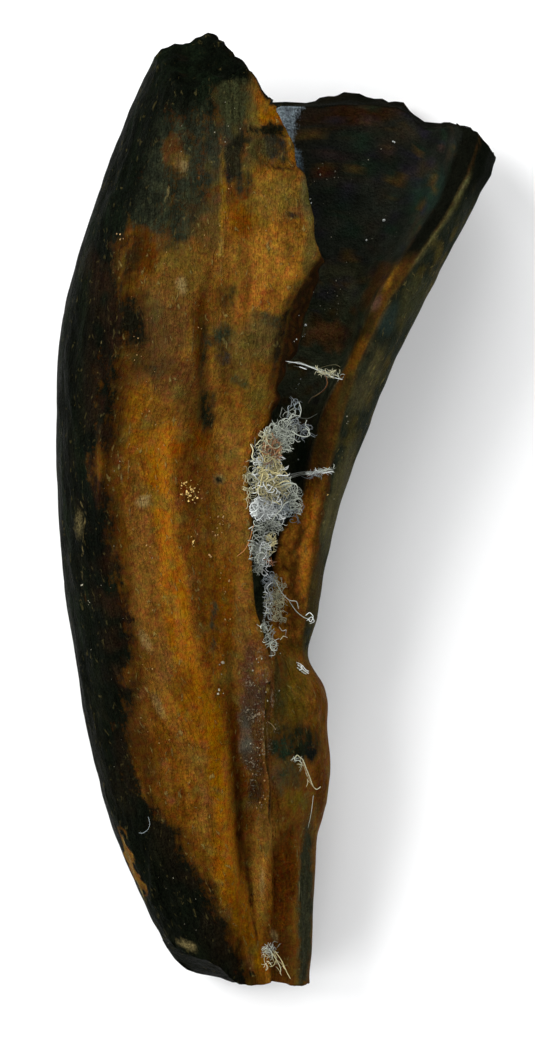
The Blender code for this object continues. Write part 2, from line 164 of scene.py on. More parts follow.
# Where the black-green stain of the left flank ends
stain_edge = along(
    (-9.0, -0.45), (-8.5, -0.62), (-8.07, -0.83), (-7.63, -1.06), (-7.12, -1.27), (-6.63, -1.62),
    (-6.1, -1.85), (-5.8, -2.19), (-5.46, -2.45), (-4.93, -2.66), (-4.23, -2.71), (-3.5, -2.66),
    (-2.5, -2.6), (-1.9, -2.75), (-1.0, -2.95), (0.0, -3.05), (0.7, -3.15), (1.6, -2.95), (2.6, -2.95),
    (3.5, -2.8), (4.5, -2.95), (5.0, -2.95), (5.3, -2.7), (5.9, -2.45), (6.6, -2.3), (7.2, -2.1),
    (7.8, -1.9),
)
ridge = along(
    (-8.9, -0.3), (-8.35, -0.42), (-7.4, -0.7), (-6.5, -1.0), (-5.5, -1.06), (-4.76, -1.08), (-3.6, -1.42),
    (-3.25, -1.61), (-2.1, -1.8), (-1.5, -1.91), (-0.6, -2.12), (0.3, -2.17), (1.1, -2.17), (2.0, -1.9),
    (3.0, -1.55), (6.0, -1.6),
)
# Right edge of the dark green cap under the broken base
cap_edge = along(
    (4.5, -1.65), (5.0, -1.6), (5.35, -1.5), (5.63, -1.35), (6.0, -1.25), (6.4, -1.3), (6.77, -1.25),
    (7.05, -0.9), (7.4, -0.95), (7.8, -1.0), (7.95, -0.95), (8.15, -0.55), (8.6, -0.2),
)
# Left edge of the back wall's black, beside the thin edge in the notch that is painted grey, a painted shade
# of the floor seen through the notch
notch_shade_edge = along((6.4, 0.53), (6.77, 0.5), (7.14, 0.46), (7.48, 0.42), (7.7, 0.48), (8.0, 0.6))

# Soft stains of the front: colour, middle x and y, half width, half length, turn clockwise in degrees,
# strength
FRONT_STAINS = (
    # under the broken base
    (LICHEN, -0.78, 7.7, 0.38, 0.6, 0, 1),
    ("#4a3a1a", -1.2, 5.3, 0.25, 0.5, 0, 0.8),
    ("#3c2811", -1.9, 6.7, 0.35, 0.5, -8, 1),
    ("#5b4527", -1.8, 6.5, 0.12, 0.2, 10, 0.8),
    (OLIVE, -1.22, 6.5, 0.12, 0.2, 0, 0.9),
    (AMBER, -0.1, 7.4, 0.22, 0.5, -30, 1),
    ("#54461c", -0.42, 7.35, 0.16, 0.35, -10, 0.9),
    ("#25251a", -0.8, 6.75, 0.5, 0.65, 0, 0.9),
    ("#2f2b18", -0.05, 6.75, 0.36, 0.33, 0, 0.9),
    ("#3f361a", -0.42, 6.65, 0.12, 0.28, 0, 0.9),
    # painted highlight along the raised line's lit edge
    ("#7a5a1c", -0.98, 5.85, 0.05, 0.9, 0, 0.8),
    (AMBER, 0.3, 6.75, 0.07, 0.3, -10, 0.7),
    # the bright bulge beside the lip, its paleness partly a painted highlight
    ("#674f1f", 0.1, 5.85, 0.6, 0.55, 0, 1),
    (RUST, -0.65, 5.45, 0.32, 0.5, 0, 0.9),
    ("#4d492c", 0.6, 5.95, 0.13, 0.5, 8, 0.9),
    ("#8b5f22", 0.1, 4.8, 0.55, 0.75, 15, 0.95),
    ("#97682a", 0.12, 4.7, 0.26, 0.6, 18, 0.8),
    ("#7f5120", -0.42, 3.9, 0.34, 0.45, 38, 1),
    ("#4a4024", 0.72, 5.2, 0.13, 0.75, 0, 0.9),
    ("#4a4021", -0.25, 3.2, 0.4, 0.5, 20, 1),
    # the upper left
    ("#4d361a", -2.05, 3.4, 0.75, 1.1, 0, 0.85),
    ("#453016", -2.05, 2.35, 0.75, 0.42, -5, 0.8),
    ("#452709", -2.55, 4.75, 0.42, 0.5, -20, 1),
    ("#56431a", -1.85, 4.75, 0.38, 0.32, 0, 0.9),
    ("#5c4a1e", -1.45, 4.4, 0.22, 0.5, 0, 0.6),
    ("#5d421c", -1.9, 4.0, 0.3, 0.4, 0, 0.6),
    (RUST, -1.42, 3.3, 0.1, 0.9, 0, 0.9),
    ("#73541c", -1.6, 3.2, 0.05, 0.8, 0, 0.5),
    # painted highlight along the raised line's lit edge
    ("#8a7136", -1.02, 4.8, 0.035, 0.3, 0, 0.6),
    ("#4d3216", -1.8, 2.5, 0.4, 0.45, 0, 0.8),
    # the valley and its green patches
    ("#4b3d1a", -0.75, 2.75, 0.4, 0.7, 0, 0.8),
    ("#574419", -0.35, 2.1, 0.3, 0.5, 5, 0.7),
    ("#6b4a18", -0.42, 1.7, 0.25, 0.3, 25, 0.7),
    ("#5a320b", -1.5, 1.25, 0.36, 0.45, 0, 1),
    ("#6e3a0d", -1.85, 1.1, 0.16, 0.3, 0, 0.7),
    ("#56300f", -1.62, 0.25, 0.26, 0.8, 0, 0.9),
    ("#603c13", -1.3, -0.5, 0.3, 0.9, 0, 0.8),
    ("#6e4c20", -0.75, 0.6, 0.34, 1.3, 0, 0.8),
    ("#573b14", 0.42, -2.4, 0.22, 0.5, 0, 1),
    ("#633c12", -1.1, -2.2, 0.3, 1.3, 4, 0.9),
    ("#66481f", -0.62, -2.1, 0.2, 0.9, 0, 0.8),
    # the ridge and the slope to its left
    ("#6a4412", -2.55, 1.55, 0.34, 0.75, 0, 0.8),
    ("#6f4c14", -2.2, 1.7, 0.3, 0.5, 0, 0.5),
    ("#4a3315", -1.65, 1.9, 0.28, 0.5, 0, 0.8),
    ("#545438", -1.06, 0.51, 0.14, 0.14, 0, 0.6),
    (AMBER, -2.17, 0.4, 0.22, 1.1, 0, 1),
    ("#85541a", -2.08, -0.3, 0.14, 1.6, 0, 0.8),
    ("#64431c", -2.5, -1.0, 0.3, 1.6, -4, 0.8),
    ("#7a4c14", -1.85, -2.0, 0.22, 1.3, -4, 1),
    (HONEY, -1.8, -2.3, 0.1, 0.7, -6, 0.6),
    ("#60421c", -2.25, -3.1, 0.35, 0.9, 0, 0.8),
    ("#6d440f", -1.5, -3.8, 0.35, 0.9, -10, 0.8),
    ("#54330d", -2.2, -4.4, 0.35, 0.8, -15, 0.9),
    ("#5f3b10", -1.75, -5.2, 0.25, 0.6, -20, 0.8),
    ("#734a0f", -1.1, -4.75, 0.2, 1.4, -3, 0.9),
    ("#61441b", -2.6, -6.75, 0.22, 0.8, -24, 1),
    ("#57441a", 0.68, 5.3, 0.12, 1.3, 2, 0.8),
    ("#4f300c", -1.9, -6.0, 0.25, 0.8, -25, 0.7),
    ("#4f3012", -2.55, -3.5, 0.26, 1.1, 0, 0.85),
    ("#4d3212", -2.1, 1.75, 0.5, 0.22, 0, 0.6),
    ("#6a3f0e", -0.95, -2.0, 0.2, 1.4, 4, 0.5),
    ("#4a2a0a", -1.7, -5.6, 0.28, 0.45, -20, 0.9),
    ("#7d5a24", -1.3, -6.0, 0.08, 0.5, -8, 0.7),
    ("#472707", -0.72, -4.9, 0.13, 1.6, -3, 0.9),
    (AMBER, -0.98, -6.9, 0.2, 0.9, -14, 1),
    ("#6b430f", -0.5, -8.2, 0.2, 0.9, -24, 1),
    # along the shut crack
    ("#492817", -0.4, -3.2, 0.25, 0.8, 0, 0.9),
    ("#6a4420", -0.15, -4.5, 0.08, 1.1, 0, 0.8),
    ("#55503e", -0.42, -4.5, 0.1, 0.2, 0, 0.9),
    (CHESTNUT, -0.3, -5.1, 0.2, 0.5, 0, 0.6),
    ("#7c5a27", -0.08, -6.15, 0.34, 0.3, 0, 1),
    ("#785422", -0.25, -6.9, 0.18, 1.0, -4, 1),
    ("#4a3422", -0.36, -3.9, 0.34, 1.4, 0, 0.8),
    ("#4d4d42", -0.54, -4.35, 0.13, 0.45, 0, 0.8),
    ("#6e4530", 0.0, -5.1, 0.12, 0.25, 0, 0.8),
    ("#3b3216", 0.02, -3.4, 0.06, 0.9, 0, 0.9),
    ("#63502a", 0.1, -5.0, 0.2, 0.4, 0, 0.6),
    # the bump on the open side
    ("#4c3c10", 0.3, -3.6, 0.3, 0.75, 0, 0.9),
    ("#56350d", 0.8, -3.95, 0.2, 0.8, 0, 0.9),
    ("#5a4a14", 0.42, -5.6, 0.24, 0.18, 0, 0.9),
    (CHESTNUT, 0.85, -5.3, 0.14, 0.7, 0, 0.9),
    # smaller changes of tone in many places, over the stains above
    ("#4d3313", -1.23, 4.3, 0.1, 1.3, -3, 0.5),
    ("#3a2a10", -2.93, 4.5, 0.35, 0.4, 0, 0.5),
    ("#54370f", -2.6, -3.3, 0.35, 0.85, -10, 0.5),
    ("#5a3a10", -1.7, -6.2, 0.25, 1.0, -20, 0.35),
    ("#80561f", -2.0, -3.8, 0.2, 0.6, -12, 0.5),
    ("#7c5423", -2.45, -2.0, 0.3, 0.6, 0, 0.5),
    ("#6b4312", -1.2, -1.8, 0.22, 0.9, 0, 0.4),
    ("#7b5a2a", -0.2, -5.95, 0.15, 0.35, 0, 0.5),
    ("#33290f", -0.75, 7.7, 0.35, 0.45, 0, 0.5),
    ("#3e3414", -1.0, 3.4, 0.5, 0.5, 0, 0.4),
    ("#2e2410", 0.05, 6.75, 0.3, 0.35, 0, 0.4),
    ("#4a3a17", -0.3, 3.1, 0.45, 0.5, -15, 0.5),
    ("#54461f", 0.64, 5.15, 0.14, 1.1, 3, 0.75),
    ("#3c3a20", 0.62, 5.7, 0.12, 0.35, 0, 0.6),
    ("#8a6128", -0.2, 4.6, 0.3, 0.6, 10, 0.4),
    ("#4f3b17", -1.8, 4.4, 0.35, 0.4, 0, 0.5),
)
# Dark stains of the front, whose edges are ragged: colour, middle x and y, half width, half length, turn,
# level (how solid: below 0 it only shows in specks)
DARK_STAINS = (
    # the green cap
    ("#2c2e1b", -0.84, 7.62, 0.3, 0.42, 0, 0.8),
    ("#363117", -0.2, 6.72, 0.26, 0.24, 0, 0.5),
    ("#20231a", -1.35, 6.7, 0.24, 0.85, 0, 0.5),
    ("#201e12", -0.75, 6.5, 0.16, 0.35, 0, 0.6),
    # under the broken base
    ("#22251a", -1.0, 7.2, 0.3, 0.4, 0, 0.1),
    ("#17170e", -0.68, 6.8, 0.18, 0.32, 5, 0.4),
    ("#24231a", -0.02, 6.78, 0.25, 0.3, 0, 0.6),
    ("#14140a", -0.22, 7.08, 0.42, 0.08, 0, 0.7),
    ("#1d1a19", 0.1, 6.8, 0.1, 0.18, 0, 0.5),
    ("#1f1a16", -0.88, 6.3, 0.12, 0.22, 0, 0.2),
    ("#1b1d14", -0.62, 6.15, 0.2, 0.26, 0, 0.4),
    ("#2c2218", 0.3, 5.5, 0.17, 0.08, 5, 0.2),
    # the upper left
    ("#221708", -2.8, 4.75, 0.3, 0.5, 15, 0.2),
    ("#13120a", -2.68, 3.55, 0.28, 0.5, -12, 0.6),
    ("#241a0c", -2.5, 2.8, 0.25, 0.4, 0, 0.0),
    ("#2a2216", -2.2, 3.3, 0.3, 0.9, 0, -0.35),
    # the valley and its green patches
    ("#241f10", -1.32, 2.6, 0.12, 1.2, 0, 0.05),
    ("#27200f", -0.9, 3.97, 0.2, 0.26, 0, 0.1),
    ("#23271a", -1.12, 3.2, 0.26, 0.2, 0, 0.2),
    ("#2b2620", -0.98, 2.85, 0.16, 0.12, 0, 0.0),
    ("#191a0e", -1.27, 1.85, 0.16, 0.4, 0, 0.4),
    ("#2a2416", -2.2, 2.65, 0.3, 0.25, 0, -0.1),
    ("#2c2f1c", -0.68, 2.36, 0.18, 0.12, 20, 0.2),
    ("#2d2c1c", -0.02, 3.52, 0.2, 0.15, 25, 0.3),
    # painted shade beside the lip, where the front falls into the crack
    ("#1d170c", 0.17, 3.2, 0.15, 1.0, 12, 0.5),
    (UMBER, -1.6, 0.8, 0.22, 0.6, 0, -0.2),
    ("#1d1a10", -1.06, 0.51, 0.06, 0.06, 0, 0.8),
    # the ridge, the slope to its left and the right of the ridge
    (UMBER, -1.55, 0.3, 0.2, 0.5, 0, -0.2),
    (UMBER, -2.75, -3.2, 0.25, 0.5, 0, 0.1),
    (UMBER, -2.55, -4.5, 0.25, 0.9, -15, 0.0),
    ("#2c1705", -0.7, -5.6, 0.07, 1.5, -3, 0.2),
    ("#231206", -0.45, -7.4, 0.05, 1.1, -8, 0.1),
    # along the shut crack
    ("#33261d", -0.35, -3.6, 0.2, 0.4, 0, -0.1),
    ("#33332b", -0.5, -3.95, 0.18, 0.3, 0, -0.1),
    ("#2b281e", -0.42, -4.75, 0.2, 0.3, 0, -0.1),
    ("#26211a", -0.4, -5.3, 0.18, 0.3, 0, 0.1),
    ("#4a2809", 0.15, -7.1, 0.22, 1.1, 5, 0.6),
    ("#40240a", 0.2, -6.3, 0.14, 0.4, 30, 0.4),
    ("#43260b", 0.05, -8.3, 0.25, 0.6, 0, 0.4),
    # the bump on the open side
    ("#2d2b14", 0.12, -3.4, 0.14, 0.8, 0, 0.0),
    ("#181c10", 0.4, -4.45, 0.4, 0.32, 10, 0.5),
    ("#101410", 0.66, -4.6, 0.14, 0.2, 0, 0.6),
    ("#1d2a1c", 0.15, -4.5, 0.2, 0.2, 0, 0.6),
    ("#2b3020", 0.25, -5.05, 0.28, 0.36, 0, 0.1),
    ("#2f3020", 0.58, -7.7, 0.13, 1.5, 1, 0.9),
)
# Soft stains of the hollow's walls, the ledge inside its rim and the band outside it, as in FRONT_STAINS
HOLLOW_STAINS = (
    ("#2d1b0b", 1.5, 7.5, 0.3, 0.9, 88, 0.9),
    ("#1d2c25", 3.0, 6.0, 0.45, 0.5, 30, 0.8),
    ("#4a2310", 0.95, 6.4, 0.2, 0.12, 0, 0.7),
    ("#6b4a2a", 1.0, 3.3, 0.5, 0.3, 0, 0.9),
    ("#4a4a38", 1.4, 4.25, 0.22, 0.2, 0, 0.8),
    (RUST, 0.6, 4.25, 0.12, 0.3, 0, 0.5),
    ("#553818", 1.95, 4.2, 0.22, 0.55, 35, 0.7),
    ("#3b3a26", 1.3, 4.5, 0.5, 0.3, 0, 0.7),
    ("#2a2b21", 0.8, 4.0, 0.3, 0.14, 0, 0.6),
)
LEDGE_STAINS = (
    ("#85601f", 2.13, 4.38, 0.12, 0.3, 38, 0.9),
    ("#5c4636", 1.88, 3.88, 0.12, 0.2, 30, 0.8),
    ("#2f260f", 1.72, 3.45, 0.16, 0.3, 25, 0.7),
    ("#5e3f14", 1.52, 2.86, 0.14, 0.4, 20, 0.8),
    ("#3a3318", 1.35, 2.2, 0.12, 0.5, 20, 0.7),
)
BAND_STAINS = (
    ("#26332e", 2.15, 3.6, 0.2, 0.4, 25, 0.7),
    # a painted highlight along the rim's edge
    ("#5c5a3c", 3.45, 5.95, 0.05, 0.4, 38, 0.9),
    ("#4a4420", 2.95, 5.25, 0.12, 0.9, 38, 0.9),
    ("#4d3710", 2.1, 4.3, 0.16, 0.6, 35, 0.9),
    (LICHEN, 2.6, 3.9, 0.3, 0.6, 30, 0.8),
    ("#423e27", 1.75, 2.4, 0.25, 0.8, 25, 0.8),
    (RUST, 1.2, 2.0, 0.1, 1.0, 20, 0.6),
    ("#48442a", 1.2, 0.2, 0.2, 1.3, 15, 0.8),
    (RUST, 0.75, -0.4, 0.14, 1.4, 10, 0.8),
    ("#3f3316", 0.7, -1.6, 0.2, 0.8, 10, 0.7),
)
# Places where the dark stain is thin: middle x and y, half width, half length, turn, depth
THIN_STAIN = (
    (-1.95, 6.8, 0.24, 0.28, -8, 1.0),
    (-1.82, 6.5, 0.24, 0.28, -8, 1.3),
    (-1.22, 6.5, 0.12, 0.2, 0, 0.6),
    (-3.45, 2.1, 0.15, 1.2, 6, 0.8),
    (-3.4, 0.75, 0.25, 0.55, 0, 0.7),
    (-3.55, -1.7, 0.12, 0.4, -8, 0.9),
    (-2.68, -6.75, 0.09, 0.85, -25, 3.2),
    (-2.8, -3.25, 0.2, 0.3, 0, 1.0),
)
# Pale flakes and scratches: middle x and y, half width, half length, turn, strength
PALE_MARKS = (
    # a pale scratch on the dark flank, also a painted reflection
    (-3.7, -0.3, 0.08, 0.3, 0, 0.25),
    (-1.75, 4.18, 0.2, 0.1, 80, 0.5),
    (-2.5, 0.1, 0.14, 0.11, 0, 0.55),
    (-2.43, 0.2, 0.1, 0.05, 0, 0.6),
    (-2.45, -2.5, 0.1, 0.25, -30, 0.3),
    (-2.2, -3.75, 0.1, 0.3, -30, 0.25),
    (-1.72, 6.42, 0.1, 0.1, 0, 0.4),
    (-0.18, -4.35, 0.05, 0.3, 0, 0.5),
    (-0.25, -7.1, 0.05, 0.3, 0, 0.35),
    (-1.65, -8.3, 0.25, 0.06, 25, 0.4),
    (0.0, -8.1, 0.06, 0.14, -20, 0.4),
)
# Thin pale lines along the tooth, painted highlights where light catches fine ridges and edges: from y, to y,
# half width, path
PALE_LINES = (
    (-0.95, 0.1, 0.022, along((-1.0, -3.66), (-0.5, -3.62), (-0.1, -3.57), (0.1, -3.68))),
    (-1.75, -1.2, 0.018, along((-1.8, -3.68), (-1.4, -3.63), (-1.2, -3.66))),
    (-0.2, 0.8, 0.03, along((-0.2, -2.7), (0.1, -2.78), (0.35, -2.86), (0.8, -2.93))),
    (0.5, 1.6, 0.016, along((0.5, -2.75), (1.1, -2.78), (1.6, -2.72))),
    (0.9, 2.5, 0.014, along((0.9, -2.62), (1.6, -2.7), (2.5, -2.58))),
    (2.2, 3.9, 0.016, along((2.2, -1.5), (3.0, -1.56), (3.9, -1.5))),
    (4.3, 5.05, 0.022, along((4.3, -1.0), (4.7, -1.03), (5.1, -0.98))),
    (5.9, 6.75, 0.02, along((5.9, -0.98), (6.4, -1.0), (6.75, -0.92))),
    (5.75, 6.05, 0.03, along((5.7, -2.06), (6.1, -1.98))),
    (2.5, 3.6, 0.016, along((2.4, -3.35), (3.0, -3.3), (3.7, -3.1))),
    (-7.6, -6.2, 0.02, along((-7.6, -2.4), (-7.0, -2.66), (-6.2, -2.9))),
    (-8.6, -6.1, 0.02, along((-8.7, 0.46), (-7.2, 0.46), (-6.2, 0.4), (-6.0, 0.5))),
    (-4.2, -3.3, 0.014, along((-4.2, -2.05), (-3.3, -2.3))),
    (-5.6, -4.9, 0.014, along((-5.6, -2.05), (-4.9, -2.3))),
    (-1.8, -0.9, 0.014, along((-1.8, 0.55), (-0.9, 0.66))),
)
# Where the surface has fine pale wrinkles: middle x and y, half width, half length, strength
WRINKLED = (
    (-2.4, 0.3, 0.6, 2.2, 0.8),
    (-2.3, -3.2, 0.5, 2.0, 0.6),
    (-0.9, 7.2, 0.7, 1.0, 0.5),
    (-1.8, 5.9, 0.6, 0.7, 0.6),
    (-2.2, 3.8, 0.6, 1.2, 0.5),
    (-1.3, 3.6, 0.5, 1.5, 0.5),
    (-0.35, -3.8, 0.35, 1.9, 0.7),
    (-1.1, -7.3, 0.4, 1.4, 0.5),
    (0.9, 0.0, 0.35, 2.5, 0.5),
    (0.0, 4.9, 0.7, 0.9, 0.3),
)


# ---------------------------------------------------------------- the tooth's shape

# Points closer than WELD, in millimetres, become one. Edges sharper than SHARP_ANGLE, in degrees, are creased
# this much, and then the mesh is divided this often.
WELD = 0.0005
SHARP_ANGLE = 42
CREASE = 0.7
DIVISIONS = 2
# Triangles become quads where they meet within these angles, in degrees
QUAD_FLATNESS = 50
QUAD_SKEW = 60


def copy_of_node(node, name):
    """An own copy of a CAD node, in whole quads, in place of the node."""
    make_active(node)
    bpy.ops.object.duplicate()
    piece = bpy.context.active_object
    piece.name = piece.data.name = name
    for key in list(piece.keys()):
        del piece[key]
    piece.parent = None
    bpy.ops.object.mode_set(mode="EDIT")
    bpy.ops.mesh.select_all(action="SELECT")
    bpy.ops.mesh.remove_doubles(threshold=WELD * MM)
    flatness, skew = math.radians(QUAD_FLATNESS), math.radians(QUAD_SKEW)
    bpy.ops.mesh.tris_convert_to_quads(face_threshold=flatness, shape_threshold=skew)
    bpy.ops.mesh.customdata_custom_splitnormals_clear()
    bpy.ops.object.mode_set(mode="OBJECT")
    return piece


def crease_breaks():
    """Creases the sharp edges of the active piece, so that its breaks stay sharp when it is divided."""
    bpy.ops.object.mode_set(mode="EDIT")
    bpy.ops.mesh.select_all(action="DESELECT")
    bpy.ops.mesh.edges_select_sharp(sharpness=math.radians(SHARP_ANGLE))
    bpy.ops.transform.edge_crease(value=CREASE)
    bpy.ops.object.mode_set(mode="OBJECT")


def reach(x, y, middle_x, middle_y, across, length, turn):
    """Distance from the middle of a turned ellipse, where 1 is its edge."""
    sine, cosine = math.sin(math.radians(turn)), math.cos(math.radians(turn))
    dx, dy = x - middle_x, y - middle_y
    return np.hypot((dx * cosine - dy * sine) / across, (dx * sine + dy * cosine) / length)


def spot(*place):
    """1 in the middle of a turned ellipse and 0 outside it."""
    return 1 - ramp(reach(*place), 0.5, 1.2)


def inside_hollow(points, normals):
    """1 on the walls of the hollow and 0 on the outside of the tooth."""
    x, y, z = points.T
    inward = normals[:, 0] * (hollow_middle_x(y) - x) + normals[:, 2] * (hollow_middle_z(y) - z)
    before_ledge = ramp(hollow_side(y) + 0.05 - x, 0, 0.12)
    return ramp(inward, -0.02, 0.05) * ramp(y, HOLLOW_FOOT - 0.3, HOLLOW_FOOT) * before_ledge


def broken_faces(points, normals):
    """1 on the broken base and 0 on worn surfaces."""
    return ramp(normals[:, 1], 0.35, 0.7) * ramp(points[:, 1], 6.0, 6.4)


def lip_face(points):
    """1 on the broken face that slopes from the front wall's lip into the crack."""
    x, y, _ = points.T
    return ramp(x - lip(y), -0.02, 0.03) * ramp(rim(y) - 0.3 - x, 0, 0.1) * ramp(y, -2.6, -2.2)


# Fine raised and sunken lines of the front: path, half width, height, from y, to y
WRINKLES = (
    (along((3, -1.05), (4, -1.02), (5, -0.98), (6.2, -0.98), (7.4, -1.0)), 0.09, 0.05, 1.6, 7.0),
    (along((1.6, -1.32), (3, -1.34), (4.4, -1.25)), 0.1, -0.07, 1.5, 4.6),
    (along((2.2, -1.6), (4, -1.55)), 0.09, 0.04, 2.3, 3.9),
    (along((0.2, -3.3), (1.7, -3.2), (3.7, -2.85), (5, -2.7)), 0.09, 0.05, -0.3, 4.8),
    (along((-0.3, -2.68), (0.1, -2.78), (0.35, -2.86), (0.8, -2.93)), 0.09, 0.06, -0.5, 1.0),
    (along((-6, -0.72), (-1, -0.85)), 0.09, -0.04, -6.2, -1.5),
    (along((-9, 0.47), (-6, 0.42)), 0.07, 0.05, -8.9, -6.0),
    (along((-8.6, -0.4), (-7.3, -0.47), (-5.5, -0.5)), 0.07, -0.06, -8.8, -5.3),
    (along((-6.3, -2.85), (-8, -2.3)), 0.08, 0.05, -7.9, -6.2),
    (along((2.6, -0.6), (3.6, -0.2), (4.4, 0.25), (5.2, 0.5)), 0.14, -0.05, 2.6, 5.2),
    (along((4.6, -0.2), (5.4, -0.4), (6.4, -0.3)), 0.12, 0.04, 4.4, 6.5),
    (along((5.6, -2.1), (6.4, -1.95), (7.4, -1.7)), 0.1, 0.04, 5.5, 7.4),
)
# How far the broken base stands above its CAD outline, from left to right: (x, rise)
FRONT_TOP_LIFT = along(
    (-2.5, 0.0), (-2.25, -0.04), (-2.1, 0.03), (-1.9, 0.06), (-1.6, -0.05), (-1.1, 0.0), (-0.95, 0.08),
    (-0.83, 0.09), (-0.6, 0.05), (-0.4, 0.0), (-0.25, -0.12), (-0.05, -0.1), (0.2, 0.0),
)
BACK_TOP_LIFT = along(
    (0.6, 0.09), (0.95, 0.08), (1.25, 0.12), (1.6, 0.13), (2.1, 0.16), (2.45, 0.27), (2.62, 0.15),
    (2.8, -0.01), (3.1, 0.03), (3.4, 0.12), (3.7, 0.16), (4.1, 0.04),
)
# How far the broken tip reaches below its CAD outline: (x, drop)
TIP_DROP = along(
    (-2.4, 0.0), (-1.95, 0.07), (-1.7, 0.12), (-1.2, 0.1), (-0.7, 0.1), (-0.4, 0.02), (0.2, 0.02),
    (0.36, 0.1), (0.6, 0.1),
)
# How far the crown's right edge stands back: (y, shift)
CROWN_EDGE = along(
    (6.3, 0.0), (6.5, -0.06), (6.95, -0.06), (7.2, -0.21), (7.45, -0.3), (7.6, -0.23), (7.75, 0.0),
    (8.0, 0.0),
)
# How far the band on the right stands out: (y, shift)
RIGHT_EDGE = along(
    (-9.0, 0.08), (-8.4, 0.06), (-7.8, 0.02), (-6.2, 0.0), (-5.9, 0.04), (-5.6, 0.05), (-5.2, 0.0),
    (-3.6, -0.02), (-3.2, 0.02), (-2.7, 0.05), (-2.1, 0.08), (-1.8, 0.04), (-1.0, 0.01), (1.0, 0.03),
    (2.4, 0.06), (3.5, 0.08), (4.1, 0.03), (5.0, 0.0),
)
# The broken lip: (y, how far its teeth stand out)
LIP_TEETH = along(
    (1.3, 0), (1.6, 0.03), (1.8, -0.06), (2.05, 0.09), (2.25, -0.05), (2.5, 0.06), (2.7, -0.03),
    (2.95, 0.05), (3.15, -0.03), (3.35, 0.05), (3.6, -0.02), (3.85, 0.06), (4.1, -0.03), (4.3, 0.04),
    (4.5, -0.05), (4.66, 0.1), (4.85, -0.06), (5.05, -0.1), (5.3, -0.08), (5.5, -0.02), (5.75, -0.02),
    (6.2, 0.05), (6.38, -0.08),
)


def surface_relief(points, normals, up):
    """How far the surface stands out or in: grainy breaks, wrinkled ridge, lumpy crust along the seam."""
    x, y, _ = points.T
    breaks = broken_faces(points, normals)
    front = ramp(lip(y) - x, -0.1, 0.0)
    seam = up * hill(x, -0.3, 0.28) * ramp(y, -5.9, -5.3) * (1 - ramp(y, -2.6, -2.2))
    flaky = up * spot(x, y, -2.4, -0.8, 0.5, 2.4, 0)
    streaks = noise_at(points * (1, 0.15, 1), 0.2, 3)
    lumps = noise_at(points * (1, 0.5, 1), 0.33, 6)
    height = 0.018 * streaks + 0.02 * noise_at(points, 0.8, 5) + 0.024 * lumps
    height += up * 0.02 * noise_at(points * (1, 0.4, 1), 0.14, 14)
    black_top = up * ramp(y, 7.7, 8.1) * ramp(-0.3 - x, 0, 0.3)
    grain = np.maximum(breaks, black_top)
    height += grain * (0.07 * noise_at(points, 0.3, 7) + 0.05 * noise_at(points, 0.13, 8))
    height += seam * (0.05 * noise_at(points, 0.15, 9) + 0.03 * noise_at(points, 0.35, 10))
    height += flaky * 0.025 * noise_at(points * (1, 0.6, 1), 0.13, 11)
    height += lip_face(points) * up * 0.02 * noise_at(points, 0.2, 12)
    for path, half_width, rise, low, high in WRINKLES:
        line = hill(x, path(y) + 0.02 * lumps, half_width) * ramp(y, low, low + 0.5)
        height += up * 1.4 * rise * line * (1 - ramp(y, high - 0.5, high)) * (0.7 + 0.6 * streaks)
    crack = reach(x, y, 0.2, 6.42, 0.42, 0.05, 4)
    height -= up * front * 0.08 * (1 - ramp(crack, 0.6, 1.1))
    recess = np.maximum(np.abs(x - 0.07 - 0.1 * (y - 6.75)) / 0.34, np.abs(y - 6.76) / 0.33)
    height -= up * front * 0.05 * (1 - ramp(recess, 0.85, 1.0))
    chip = ramp(-8.25 - 0.5 * (x + 1.9) - y, -0.03, 0.05) * ramp(-0.6 - x, 0, 0.2)
    height -= up * chip * 0.06
    height -= up * 0.05 * ramp(x - 0.46, 0.0, 0.06) * (1 - ramp(y, -6.4, -5.8))
    return height


def move_edges(moved, places, up):
    """Moves the ragged edges of the breaks, the lip and the rim. Places are the points before the relief."""
    x, y, z = places.T
    # The shell's edge along the ridge stands over the strip beside the seam
    below = ramp(x + 0.7, -0.04, 0.08) * ramp(-0.12 - x, -0.2, 0.2) * (1 - ramp(y, -5.3, -4.8))
    moved[:, 2] -= 0.1 * up * below * ramp(y, -8.9, -7.5)
    moved[:, 1] += BACK_TOP_LIFT(x) * ramp(y, 6.3, 7.1) * ramp(x, 0.55, 0.75)
    moved[:, 1] += FRONT_TOP_LIFT(x) * ramp(y, 7.0, 7.6) * ramp(0.3 - x, 0, 0.2)
    beside_lip = hill(x, lip(y) + 0.12, 0.2) * ramp(z, 1.5, 2.2) * ramp(y, 1.2, 1.5)
    teeth = LIP_TEETH(y) + 0.05 * noise_at(moved, 0.16, 13)
    moved[:, 0] += teeth * beside_lip * (1 - ramp(y, 6.5, 6.8))
    moved[:, 1] -= TIP_DROP(x) * ramp(-8.0 - y, 0, 0.4)
    moved[:, 0] += 0.08 * ramp(x, 3.4, 4.0) * ramp(y, 5.9, 6.4) * (1 - ramp(y, 6.7, 7.0))
    crown = ramp(x - lip(y), -0.6, -0.1) * ramp(z, 1.8, 2.4) * ramp(y, 6.3, 6.4)
    moved[:, 0] += CROWN_EDGE(y) * crown
    # A thin edge of the back wall reaches to the left under the crown, to carry the grey painted shade of the
    # floor seen through the notch
    notch = ramp(y, 6.3, 7.1) * ramp(x, 0.1, 0.3) * (1 - ramp(x, 0.5, 0.75)) * (1 - ramp(z, 1.6, 2.2))
    moved[:, 0] -= 0.55 * notch
    moved[:, 1] += 0.13 * notch * ramp(y, 7.1, 7.5)
    moved[:, 0] += RIGHT_EDGE(y) * ramp(x - rim(y), -0.1, 0.15)


